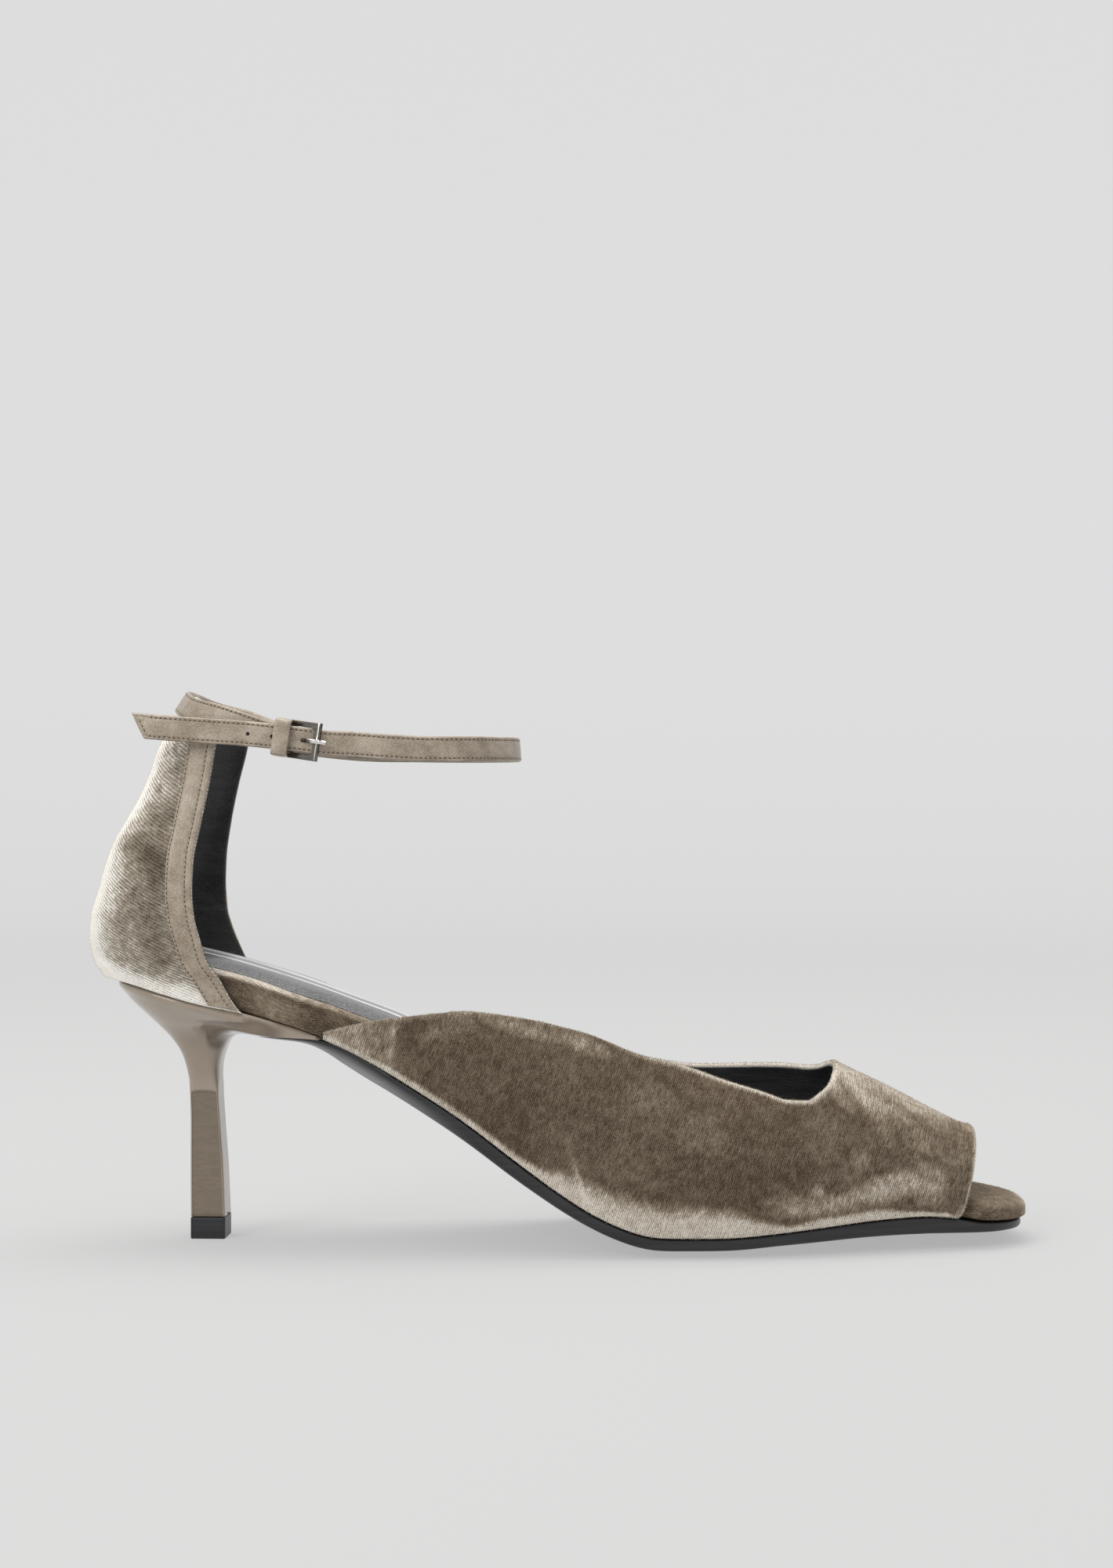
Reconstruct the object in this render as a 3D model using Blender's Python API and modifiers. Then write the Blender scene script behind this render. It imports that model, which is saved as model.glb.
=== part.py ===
"""A heeled sandal for the right foot, with a covered stiletto heel, an open toe and an ankle strap.

Frame: metres, +X to the toe, +Y to the inner side of the foot, +Z up.
The origin is on the floor, at the middle of the heel's top piece.
"""
import math

import bpy
import numpy as np

# Driving dimensions of the last
LENGTH = 0.2478
BACK_REACH = 0.0315
BALL_WIDTH = 0.078
SEAT_WIDTH = 0.054
HEEL_HEIGHT = 0.0676
CREST_HEIGHT = 0.058
COUNTER_HEIGHT = 0.076

# Walls and layers
GAP = 0.0003
WALL = 0.0018
SOLE_THICKNESS = 0.0032
SOLE_ROCKER = 0.0018
SOLE_INSET = 0.0012
FOOTBED_THICKNESS = 0.010
FOOTBED_EDGE = 0.0022
SOCK_THICKNESS = 0.0010
SOCK_RIM = 0.0048
SOCK_END = 0.905
SOCK_CROWN = 0.0006

# Heel
TOP_PIECE_LENGTH = 0.0094
TOP_PIECE_WIDTH = 0.0108
TOP_PIECE_HEIGHT = 0.0056
HEEL_TURN = math.radians(3)

# Straps and trims
FACING_WIDTH = 0.007
FACING_THICKNESS = 0.0009
STRAP_WIDTH = 0.0065
STRAP_THICKNESS = 0.0015
STRAP_LENGTH = 0.093
STRAP_SPREAD = 0.027
TIP_SLANT = 0.0011
HOLE_DIAMETER = 0.0021
KEEPER_LENGTH = 0.0042
KEEPER_THICKNESS = 0.0010
BUCKLE_LENGTH = 0.0086
BUCKLE_BAR = 0.0014
BUCKLE_TILT = math.radians(8.6)
PRONG_WIRE = 0.0011

# Plan of the last: place along the length, then the half widths as shares of the ball width
PLAN = (
    # place, outer, inner
    (0.107, 0.327, 0.327),
    (0.147, 0.340, 0.336),
    (0.207, 0.350, 0.328),
    (0.287, 0.359, 0.315),
    (0.368, 0.385, 0.326),
    (0.448, 0.429, 0.365),
    (0.529, 0.474, 0.423),
    (0.609, 0.500, 0.481),
    (0.669, 0.496, 0.500),
    (0.730, 0.471, 0.487),
    (0.790, 0.426, 0.449),
    (0.850, 0.368, 0.394),
    (0.911, 0.313, 0.333),
    (0.951, 0.282, 0.295),
    (1.000, 0.244, 0.250),
)
TOE_ROUND = 0.069
TOE_SQUARENESS = 2.5
BACK_SQUARENESS = 2.2

# Side view of the sole: its underside and the heel's wedge over it as shares of the heel's height
PROFILE = (
    # place, underside, share of the sole's thickness, wedge
    (0.000, 0.768, 0.12, 0.227),
    (0.040, 0.768, 0.12, 0.214),
    (0.087, 0.768, 0.12, 0.172),
    (0.134, 0.768, 0.12, 0.129),
    (0.165, 0.768, 0.13, 0.116),
    (0.183, 0.768, 0.16, 0.105),
    (0.208, 0.762, 0.28, 0.078),
    (0.227, 0.755, 0.41, 0.061),
    (0.256, 0.724, 1.00, 0.027),
    (0.273, 0.697, 1.19, 0.004),
    (0.289, 0.664, 1.25, 0.0),
    (0.321, 0.602, 1.25, 0.0),
    (0.353, 0.530, 1.25, 0.0),
    (0.385, 0.456, 1.28, 0.0),
    (0.418, 0.373, 1.28, 0.0),
    (0.450, 0.284, 1.28, 0.0),
    (0.482, 0.201, 1.25, 0.0),
    (0.515, 0.121, 1.19, 0.0),
    (0.547, 0.059, 1.12, 0.0),
    (0.579, 0.016, 1.06, 0.0),
    (0.599, 0.000, 1.03, 0.0),
    (0.668, 0.000, 1.0, 0.0),
    (0.725, 0.014, 1.0, 0.0),
    (0.773, 0.031, 1.0, 0.0),
    (0.821, 0.048, 1.0, 0.0),
    (0.874, 0.057, 1.0, 0.0),
    (0.905, 0.058, 0.85, 0.0),
    (0.925, 0.058, 0.52, 0.0),
    (0.940, 0.058, 0.36, 0.0),
    (1.000, 0.054, 0.10, 0.0),
)

# Thickness of the padded footbed along the length
FOOTBED = (
    # place, share of the footbed's thickness
    (0.000, 1.00),
    (0.046, 0.96),
    (0.142, 0.94),
    (0.175, 0.90),
    (0.207, 0.86),
    (0.247, 0.86),
    (0.285, 1.04),
    (0.312, 1.16),
    (0.368, 1.22),
    (0.428, 1.18),
    (0.489, 1.04),
    (0.549, 0.82),
    (0.609, 0.66),
    (0.690, 0.56),
    (0.810, 0.50),
    (1.000, 0.50),
)

# Height of the last's ridge over the footbed's underside
CREST = (
    # place, share of the crest height
    (0.247, 0.690),
    (0.312, 0.793),
    (0.368, 0.888),
    (0.424, 0.948),
    (0.480, 0.983),
    (0.529, 1.000),
    (0.593, 0.966),
    (0.637, 0.897),
    (0.690, 0.828),
    (0.730, 0.793),
    (0.770, 0.734),
    (0.802, 0.645),
    (0.834, 0.572),
    (0.871, 0.489),
    (0.907, 0.413),
    (0.945, 0.374),
)

# The vamp's lines from its top edge to its lower edge, outer side first
# A turn of 0 is the outer feather line, 1 is the ridge and 2 is the inner feather line
VAMP = (
    # top place, top turn, lower place, lower turn
    (0.269, 0.028, 0.261, 0.0),
    (0.311, 0.175, 0.300, 0.0),
    (0.352, 0.269, 0.344, 0.0),
    (0.408, 0.368, 0.400, 0.0),
    (0.448, 0.442, 0.444, 0.0),
    (0.497, 0.517, 0.493, 0.0),
    (0.545, 0.563, 0.545, 0.0),
    (0.593, 0.579, 0.597, 0.0),
    (0.635, 0.606, 0.645, 0.0),
    (0.676, 0.571, 0.694, 0.0),
    (0.708, 0.542, 0.742, 0.0),
    (0.738, 0.537, 0.794, 0.0),
    (0.758, 0.560, 0.854, 0.0),
    (0.773, 0.633, 0.916, 0.0),
    (0.784, 0.730, 0.931, 0.22),
    (0.794, 0.840, 0.940, 0.52),
    (0.801, 0.930, 0.944, 0.78),
    (0.802, 1.000, 0.945, 1.0),
    (0.801, 1.070, 0.945, 1.2),
    (0.797, 1.150, 0.941, 1.48),
    (0.789, 1.260, 0.933, 1.8),
    (0.776, 1.335, 0.925, 2.0),
    (0.738, 1.390, 0.850, 2.0),
    (0.690, 1.425, 0.770, 2.0),
    (0.637, 1.479, 0.690, 2.0),
    (0.593, 1.501, 0.617, 2.0),
    (0.545, 1.524, 0.553, 2.0),
    (0.489, 1.576, 0.489, 2.0),
    (0.428, 1.669, 0.424, 2.0),
    (0.368, 1.785, 0.360, 2.0),
    (0.324, 1.972, 0.316, 2.0),
)
VAMP_FULLNESS = 2.3

# The counter by height over the seat, as shares of its height, the back reach and half the seat width
COUNTER = (
    # height, back, half width, depth of its round back
    (-0.100, -0.635, 0.965, 0.741),
    (-0.054, -0.683, 0.955, 0.759),
    (-0.008, -0.806, 0.950, 0.889),
    (0.033, -0.895, 0.965, 0.963),
    (0.075, -0.959, 0.985, 1.000),
    (0.157, -1.000, 1.000, 1.019),
    (0.239, -0.987, 1.000, 1.000),
    (0.321, -0.927, 0.985, 0.981),
    (0.404, -0.873, 0.963, 0.963),
    (0.487, -0.800, 0.933, 0.919),
    (0.568, -0.689, 0.900, 0.852),
    (0.650, -0.578, 0.874, 0.793),
    (0.729, -0.495, 0.856, 0.748),
    (0.816, -0.422, 0.844, 0.719),
    (0.900, -0.286, 0.833, 0.689),
    (1.000, -0.130, 0.822, 0.667),
)

# The counter's two front edges by height, as shares of the back reach
FRONT_EDGE = (
    # height, outer edge, inner edge
    (-0.100, 0.400, 0.430),
    (-0.063, 0.310, 0.365),
    (0.041, 0.156, 0.240),
    (0.084, 0.083, 0.187),
    (0.179, 0.010, 0.090),
    (0.242, -0.029, 0.048),
    (0.334, -0.048, 0.035),
    (0.426, -0.041, 0.044),
    (0.558, 0.016, 0.092),
    (0.700, 0.083, 0.165),
    (0.814, 0.127, 0.235),
    (0.950, 0.180, 0.290),
)

# The counter's top edge round the heel: 0 is the outer front edge, 1 the back, 2 the inner front edge
COLLAR = (
    # turn, height as a share of the counter's height
    (0.00, 0.948),
    (0.40, 0.970),
    (0.75, 0.993),
    (1.00, 0.999),
    (1.25, 0.993),
    (1.60, 0.968),
    (2.00, 0.940),
)

# The covered heel as rings from the seat down, back and front as shares of the seat width
HEEL = (
    # back height, back, front height, front, half width, squareness of the ring
    (1.000, -0.440, 0.00, 0.590, 0.452, 0.0),
    (0.972, -0.415, 0.00, 0.565, 0.432, 0.0),
    (0.930, -0.368, 0.00, 0.430, 0.375, 0.1),
    (0.880, -0.305, 0.00, 0.290, 0.315, 0.2),
    (0.826, -0.242, 0.00, 0.190, 0.245, 0.3),
    (0.764, -0.177, 0.765, 0.117, 0.182, 0.4),
    (0.698, -0.129, 0.706, 0.077, 0.145, 0.5),
    (0.620, -0.102, 0.628, 0.058, 0.120, 0.6),
    (0.530, -0.089, 0.530, 0.058, 0.107, 0.8),
    (0.385, -0.084, 0.385, 0.070, 0.102, 1.0),
    (0.210, -0.089, 0.210, 0.082, 0.101, 1.0),
)

# The ankle strap's loop in front of the counter: from its inner side round to the buckle
STRAP_FRONT = (
    # place along the strap's length, side, rise in strap widths, lean of its upper edge backward
    (0.320, 0.990, 0.16, 0.00),
    (0.500, 1.010, -0.20, 0.00),
    (0.700, 0.980, -0.27, 0.00),
    (0.870, 0.800, -0.29, 0.02),
    (0.958, 0.430, -0.29, 0.05),
    (0.983, 0.000, -0.29, 0.08),
    (0.958, -0.450, -0.29, 0.05),
    (0.870, -0.830, -0.29, 0.02),
    (0.700, -1.010, -0.28, 0.00),
    (0.610, -1.035, -0.20, 0.00),
)


def place(share):
    """Turn a place along the shoe's length into X."""
    return share * LENGTH - BACK_REACH


def follow(rows, column, where):
    """Read a column of a table on a smooth curve that never overshoots its rows."""
    knots = np.array([row[0] for row in rows], dtype=float)
    values = np.array([row[column] for row in rows], dtype=float)
    where = np.clip(np.asarray(where, dtype=float), knots[0], knots[-1])
    gaps = np.diff(knots)
    rises = np.diff(values) / gaps
    product = rises[:-1] * rises[1:]
    total = np.where(product > 0, rises[:-1] + rises[1:], 1.0)
    inner = np.where(product > 0, 2 * product / total, 0.0)
    slopes = np.concatenate(([rises[0]], inner, [rises[-1]]))
    index = np.clip(np.searchsorted(knots, where) - 1, 0, len(gaps) - 1)
    step = (where - knots[index]) / gaps[index]
    rest = 1 - step
    return (
        values[index] * (1 + 2 * step) * rest ** 2
        + values[index + 1] * (3 - 2 * step) * step ** 2
        + gaps[index] * step * rest * (slopes[index] * rest - slopes[index + 1] * step)
    )


def blend(start, end, where):
    """Rise smoothly from 0 at start to 1 at end."""
    share = np.clip((where - start) / (end - start), 0, 1)
    return share * share * (3 - 2 * share)


def along(x):
    """Turn X into a place along the shoe's length."""
    return (np.asarray(x) + BACK_REACH) / LENGTH


def plan_width(x, side):
    """Half width of the last's plan before its ends are rounded; side is -1 outside, +1 inside."""
    return follow(PLAN, 1 if side < 0 else 2, along(x)) * BALL_WIDTH


def underside(x):
    """Height of the sole's underside on the shoe's middle line."""
    return follow(PROFILE, 1, along(x)) * HEEL_HEIGHT


def sole_top(x):
    """Height of the sole's upper face."""
    return underside(x) + SOLE_ROCKER + follow(PROFILE, 2, along(x)) * SOLE_THICKNESS


def seat(x):
    """Height of the footbed's underside: the sole's upper face, raised by the heel's wedge."""
    return sole_top(x) + follow(PROFILE, 3, along(x)) * HEEL_HEIGHT + GAP


def counter_size(height, column):
    """Read the counter's back, half width or depth at a height."""
    share = (np.asarray(height) - HEEL_HEIGHT) / COUNTER_HEIGHT
    size = (BACK_REACH, SEAT_WIDTH / 2, SEAT_WIDTH / 2)[column - 1]
    return follow(COUNTER, column, share) * size


def heel_width(x, height, inset=0.0):
    """Half width of the heel cup at X and a height, round at the back and straight in front."""
    back = counter_size(height, 1) + inset
    half = counter_size(height, 2) - inset
    depth = counter_size(height, 3) - inset
    share = np.clip((back + depth - x) / depth, 0, 1)
    return half * (1 - share ** BACK_SQUARENESS) ** (1 / BACK_SQUARENESS)


def new_material(name, colour, roughness, metallic=0.0, coat=0.0):
    """Make a plain Principled material."""
    material = bpy.data.materials.new(name)
    material.use_nodes = True
    material.diffuse_color = (*colour, 1)
    shader = material.node_tree.nodes["Principled BSDF"]
    shader.inputs["Base Color"].default_value = (*colour, 1)
    shader.inputs["Roughness"].default_value = roughness
    shader.inputs["Metallic"].default_value = metallic
    shader.inputs["Coat Weight"].default_value = coat
    return material


def new_collection(name):
    """Make a collection in the scene."""
    collection = bpy.data.collections.new(name)
    bpy.context.scene.collection.children.link(collection)
    return collection


def new_object(name, data, material, collection):
    """Put a mesh or a curve in the scene as one named piece."""
    piece = bpy.data.objects.new(name, data)
    if material is not None:
        data.materials.append(material)
    collection.objects.link(piece)
    return piece


def mesh_from(name, points, faces):
    """Make a smooth shaded mesh that keeps its sharp edges."""
    mesh = bpy.data.meshes.new(name)
    mesh.from_pydata([tuple(point) for point in points], [], faces)
    mesh.validate()
    mesh.shade_smooth()
    mesh.set_sharp_from_angle(angle=math.radians(40))
    return mesh


def ring_stack(name, rings, material, collection):
    """Skin a stack of closed rings, lowest first, each ring counterclockwise from above.

    A ring starts at its back, runs round one side to its front and comes back on the other,
    so each end is closed by rungs between the two sides.
    """
    count = len(rings[0])
    points = np.concatenate(rings)
    faces = []
    for level in range(len(rings) - 1):
        low = level * count
        high = low + count
        for i in range(count):
            j = (i + 1) % count
            faces.append((low + i, low + j, high + j, high + i))
    last = (len(rings) - 1) * count
    for i in range(count // 2):
        j = (count - i) % count
        if i == 0:
            rung = (0, count - 1, 1)
        elif i == count // 2 - 1:
            rung = (i, j, i + 1)
        else:
            rung = (i, j, j - 1, i + 1)
        faces.append(rung)
        faces.append(tuple(last + k for k in reversed(rung)))
    return new_object(name, mesh_from(name, points, faces), material, collection)


def plan_ring(stations, back, front, outer, inner, height):
    """Make a ring round the shoe: outer side from back to front, then the inner side back."""
    middle = stations[1:-1]
    x = np.concatenate(([back], middle, [front], middle[::-1]))
    y = np.concatenate(([0.0], -outer(middle), [0.0], inner(middle)[::-1]))
    return np.stack((x, y, height(x, y)), axis=1)


def spread(start, end, count):
    """Stations that gather at both ends, where an outline turns."""
    turn = np.linspace(0, math.pi, count)
    return start + (end - start) * (1 - np.cos(turn)) / 2


def toe_round(x, inset):
    """Share of the half width that the round toe leaves."""
    depth = TOE_ROUND * LENGTH
    share = np.clip((x + inset - place(1) + depth) / depth, 0, 1)
    return (1 - share ** TOE_SQUARENESS) ** (1 / TOE_SQUARENESS)


def build_outsole(material, collection):
    """The thin leather sole, from its feathered end under the heel's wedge to the toe."""
    start = place(0.178)
    end = place(1) - SOLE_INSET
    stations = spread(start, end, 46)
    tongue = 0.085 * LENGTH

    def half(side, inset):
        def width(x):
            share = np.clip((start + inset + tongue - x) / tongue, 0, 1)
            rear = (1 - share ** 2.4) ** (1 / 2.4)
            wing = 1 - 0.28 * (1 - blend(start + tongue, place(0.33), x))
            full = plan_width(x, side) - SOLE_INSET - inset
            return full * rear * wing * toe_round(x, SOLE_INSET + inset)
        return width

    def rings(inset, height):
        x = spread(start + inset, end - inset, len(stations))
        return plan_ring(x, x[0], x[-1], half(-1, inset), half(1, inset), height)

    edge = SOLE_ROCKER
    flat = 0.45 * BALL_WIDTH / 2

    def bottom(x, y):
        thin = np.minimum(1, follow(PROFILE, 2, along(x)))
        rim = np.clip(np.abs(y) - flat, 0, None) / (BALL_WIDTH * 0.44 - flat)
        return underside(x) + edge * (1 - thin + thin * np.minimum(1, rim ** 1.6))

    def top(x, y):
        return sole_top(x)

    def middle(x, y):
        return bottom(x, y) * 0.6 + top(x, y) * 0.4

    width = BALL_WIDTH / 2
    layers = [
        rings(0.75 * width, bottom),
        rings(0.40 * width, bottom),
        rings(0.0011, bottom),
        rings(0.0, middle),
        rings(0.0002, top),
    ]
    return ring_stack("outsole", layers, material, collection)


def footbed_height(x, level):
    """Height of a level of the footbed: level 0 is its underside and 1 its top."""
    return seat(x) + GAP + level * follow(FOOTBED, 1, along(x)) * FOOTBED_THICKNESS


def footbed_half(side, level, inset):
    """Half width of the footbed, inside the heel cup at the back and the vamp in front."""
    def width(x):
        height = footbed_height(x, level)
        cup = heel_width(x, height, WALL + 2 * GAP + inset)
        wrapped = blend(place(0.243), place(0.261), x) * (1 - blend(place(0.925), place(0.948), x))
        rise = (height - seat(x)) / (follow(CREST, 1, along(x)) * CREST_HEIGHT)
        lean = 1 - wrapped * (1 - (1 - rise ** 2) ** (1 / VAMP_FULLNESS))
        front = plan_width(x, side) * lean - wrapped * (WALL + 2 * GAP) - inset
        share = blend(place(0.178), place(0.225), x)
        return (cup * (1 - share) + front * share) * toe_round(x, inset)
    return width


def footbed_ring(level, inset, count=52):
    """A ring of the footbed, at a level and an inset from its outline."""
    def height(x, y):
        return footbed_height(x, level)

    start = -BACK_REACH * 0.85
    for _ in range(8):
        start = float(counter_size(footbed_height(start, level), 1)) + WALL + 2 * GAP + inset
    x = spread(start, place(1) - inset, count)
    return plan_ring(x, x[0], x[-1], footbed_half(-1, level, inset), footbed_half(1, level, inset), height)


def build_footbed(material, collection):
    """The padded board, wrapped in the upper's velvet, with rounded edges."""
    layers = [
        footbed_ring(0.0, 0.45 * FOOTBED_EDGE),
        footbed_ring(0.12, 0.0),
        footbed_ring(0.72, 0.0),
        footbed_ring(0.90, 0.28 * FOOTBED_EDGE),
        footbed_ring(1.0, FOOTBED_EDGE),
    ]
    return ring_stack("footbed", layers, material, collection)


def build_sock(material, collection):
    """The smooth insole on the footbed, from the heel to under the vamp's front."""
    end = place(SOCK_END)
    tongue = 0.35 * BALL_WIDTH

    def layer(inset, lift):
        outline = footbed_ring(1.0, inset)
        start = outline[:, 0].min()
        x = spread(start, end - inset, 46)
        share = np.clip((x[1:-1] - end + inset + tongue) / tongue, 0, 1)
        front = (1 - share ** 2.2) ** (1 / 2.2)

        def half(side):
            return lambda middle: footbed_half(side, 1.0, inset)(middle) * front

        def height(px, py):
            return footbed_height(px, 1.0) + lift

        return plan_ring(x, x[0], x[-1], half(-1), half(1), height)

    layers = [
        layer(SOCK_RIM, 1.5 * GAP),
        layer(SOCK_RIM, 1.5 * GAP + 0.5 * SOCK_THICKNESS),
        layer(SOCK_RIM + SOCK_THICKNESS, 1.5 * GAP + SOCK_THICKNESS),
        layer(0.26 * BALL_WIDTH, 1.5 * GAP + SOCK_THICKNESS + SOCK_CROWN),
    ]
    return ring_stack("sock", layers, material, collection)


def vamp_point(x, turn, out=0.0):
    """A point on the last over the forefoot: turn 0 is outside, 1 the ridge and 2 inside."""
    angle = np.asarray(turn) * math.pi / 2
    side = np.where(np.cos(angle) >= 0, -1.0, 1.0)
    outer = plan_width(x, -1)
    inner = plan_width(x, 1)
    half = np.where(side < 0, outer, inner) * toe_round(x, 0)
    power = 2 / VAMP_FULLNESS
    across = np.abs(np.cos(angle)) ** power
    rise = np.sin(angle) ** 1.0
    crest = follow(CREST, 1, along(x)) * CREST_HEIGHT
    y = side * (half * across + out * np.abs(np.cos(angle)))
    return np.stack((x, y, seat(x) + GAP + (crest + out) * rise), axis=-1)


def build_vamp(material, collection):
    """The forefoot upper: one U of velvet that is closed over the toes and open at the toe tip."""
    rows = [(index, *row) for index, row in enumerate(VAMP)]
    columns = np.linspace(0, len(rows) - 1, 2 * len(rows) - 1)
    top_place, top_turn, low_place, low_turn = (follow(rows, k, columns) for k in (1, 2, 3, 4))
    steps = np.linspace(0, 1, 9)[:, None]
    places = top_place + (low_place - top_place) * steps
    turns = top_turn + (low_turn - top_turn) * steps
    grid = vamp_point(place(places), turns)
    return sheet("vamp", grid, WALL, material, collection)


def sheet(name, grid, wall, material, collection, inward=True):
    """A surface grid made into a wall of even thickness."""
    rows, columns = grid.shape[:2]
    faces = []
    for i in range(rows - 1):
        for j in range(columns - 1):
            a = i * columns + j
            faces.append((a, a + columns, a + columns + 1, a + 1))
    mesh = mesh_from(name, grid.reshape(-1, 3), faces)
    piece = new_object(name, mesh, material, collection)
    solid = piece.modifiers.new("Wall", "SOLIDIFY")
    solid.thickness = wall
    solid.offset = -1 if inward else 1
    solid.use_even_offset = True
    return piece


def counter_place(turn, height):
    """X of a point of the counter; turn 0 is the outer front edge, 1 the back, 2 the inner edge."""
    share = (np.asarray(height) - HEEL_HEIGHT) / COUNTER_HEIGHT
    outer = follow(FRONT_EDGE, 1, share) * BACK_REACH
    inner = follow(FRONT_EDGE, 2, share) * BACK_REACH
    front = np.where(turn < 1, outer, inner)
    back = counter_size(height, 1)
    return back + (front - back) * (1 - np.sin(np.minimum(turn, 2 - turn) * math.pi / 2))


def counter_point(turn, height, out=0.0):
    """A point of the counter's outer face, moved out by a distance."""
    x = counter_place(turn, height)
    y = np.where(turn < 1, -1.0, 1.0) * heel_width(x, height)
    point = np.stack(np.broadcast_arrays(x, y, height), axis=-1)
    return point + out * counter_normal(turn, height)


def counter_normal(turn, height):
    """The direction that points out of the counter's outer face."""
    x = counter_place(turn, height)
    step = 0.0005

    def side(px, pz):
        half = counter_size(pz, 2)
        depth = counter_size(pz, 3)
        share = np.clip((counter_size(pz, 1) + depth - px) / depth, 0, 1.2)
        return share ** BACK_SQUARENESS, half

    share, half = side(x, height)
    width = half * np.maximum(0, 1 - share) ** (1 / BACK_SQUARENESS)
    sign = np.where(turn < 1, -1.0, 1.0)

    def level(px, py, pz):
        far, wide = side(px, pz)
        return far + (np.abs(py) / wide) ** BACK_SQUARENESS

    y = sign * width
    dx = level(x + step, y, height) - level(x - step, y, height)
    dy = level(x, y + step, height) - level(x, y - step, height)
    dz = level(x, y, height + step) - level(x, y, height - step)
    normal = np.stack(np.broadcast_arrays(dx, dy, dz), axis=-1)
    return normal / np.linalg.norm(normal, axis=-1, keepdims=True)


def collar_height(turn):
    """Height of the counter's top edge."""
    return HEEL_HEIGHT + follow(COLLAR, 1, turn) * COUNTER_HEIGHT


def counter_foot(turn):
    """Height of the counter's lower edge, which follows the seat."""
    height = np.full(np.shape(turn), HEEL_HEIGHT)
    for _ in range(6):
        height = seat(counter_place(turn, height)) + GAP
    return height


def build_counter(material, collection):
    """The tall back quarter, a U of velvet from the seat to under the ankle strap."""
    turn = np.linspace(2, 0, 41)[None, :]
    share = np.linspace(1, 0, 15)[:, None]
    low = counter_foot(turn)
    height = low + (collar_height(turn) - low) * share
    grid = counter_point(turn, height)
    return sheet("counter", grid, WALL, material, collection)


def build_facing(name, side, material, collection):
    """The leather tape along one front edge of the counter, laid on its outer face."""
    share = np.linspace(0.985, 0.015, 22)
    edge_turn = 0.0 if side < 0 else 2.0
    low = counter_foot(np.array([edge_turn]))[0] + GAP
    top = collar_height(edge_turn) - 0.75 * STRAP_WIDTH
    height = low + (top - low) * share
    front = counter_place(np.full(len(height), edge_turn), height)
    back = counter_size(height, 1)
    inner = np.clip((front - 0.0003 - back) / (front - back), 0, 1)
    outer = np.clip((front - FACING_WIDTH - back) / (front - back), 0, 1)
    start = np.arcsin(1 - inner) / (math.pi / 2)
    stop = np.arcsin(1 - outer) / (math.pi / 2)
    steps = np.linspace(0, 1, 5)[None, :]
    turn = start[:, None] + (stop - start)[:, None] * steps
    turn = turn[:, ::-1] if side < 0 else 2 - turn
    grid = counter_point(turn, height[:, None] + 0 * turn, 1.3 * GAP)
    return sheet(name, grid, FACING_THICKNESS, material, collection, inward=False)


def square_ring(back, front, half, power, count):
    """A ring between a back and a front, squarer with a higher power, from its back round."""
    angle = np.linspace(0, 2 * math.pi, count, endpoint=False)
    cosine = -np.cos(angle)
    sine = -np.sin(angle)
    x = (back + front) / 2 + (front - back) / 2 * np.sign(cosine) * np.abs(cosine) ** (2 / power)
    y = half * np.sign(sine) * np.abs(sine) ** (2 / power)
    return x, y


def turned(x, y, share):
    """Turn a ring of the heel a little toward the back of its outer side."""
    angle = HEEL_TURN * share
    return x * math.cos(angle) - y * math.sin(angle), x * math.sin(angle) + y * math.cos(angle)


def heel_ring(row, count=40):
    """One ring of the covered heel, on a plane between its back and front points."""
    back_height, back, front_height, front, half, square = row
    back = back * SEAT_WIDTH
    front = front * SEAT_WIDTH
    floor = TOP_PIECE_HEIGHT + GAP
    low_back = floor + (HEEL_HEIGHT - floor) * back_height
    x, y = square_ring(back, front, half * SEAT_WIDTH, 2.5 + 3.0 * square, count)
    if front_height == 0:
        low_front = float(sole_top(front)) + GAP
        corner = blend(front, front - 0.09 * SEAT_WIDTH, x)
        corner = 0.80 * corner + 0.20 * (corner > 0)
        wide = np.where(y < 0, plan_width(x, -1), plan_width(x, 1)) - SOLE_INSET - GAP
        wing = blend(0, 0.28 * SEAT_WIDTH, x) * blend(0.19 * SEAT_WIDTH, 0.43 * SEAT_WIDTH, front)
        y = y * (1 - wing) + np.sign(y) * wide * corner * wing
    else:
        low_front = floor + (HEEL_HEIGHT - floor) * front_height
    share = (x - back) / (front - back)
    height = low_back + (low_front - low_back) * share
    x, y = turned(x, y, square)
    return x, y, height


def build_heel(material, collection):
    """The covered heel: a cup under the seat, a wedge under the waist and a slim stem."""
    rings = []
    stem = (TOP_PIECE_LENGTH, TOP_PIECE_WIDTH, TOP_PIECE_HEIGHT + GAP)
    x, y = square_ring(-stem[0] / 2, stem[0] / 2, stem[1] / 2, 5.5, 40)
    x, y = turned(x, y, 1)
    rings.append(np.stack((x, y, np.full(len(x), stem[2])), axis=1))
    for row in reversed(HEEL[1:]):
        rings.append(np.stack(heel_ring(row), axis=1))
    x, y, height = heel_ring(HEEL[0])
    top = seat(x) - 0.5 * GAP
    rings.append(np.stack((x, y, np.maximum(top, height)), axis=1))
    return ring_stack("heel", rings, material, collection)


def build_top_piece(material, collection):
    """The hard block that the heel stands on."""
    rings = []
    for height, inset in ((0.0, 0.0004), (0.0004, 0.0), (TOP_PIECE_HEIGHT, 0.0)):
        half = TOP_PIECE_LENGTH / 2 - inset
        x, y = square_ring(-half, half, TOP_PIECE_WIDTH / 2 - inset, 5.5, 40)
        x, y = turned(x, y, 1)
        rings.append(np.stack((x, y, np.full(len(x), height)), axis=1))
    return ring_stack("top_piece", rings, material, collection)


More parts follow.
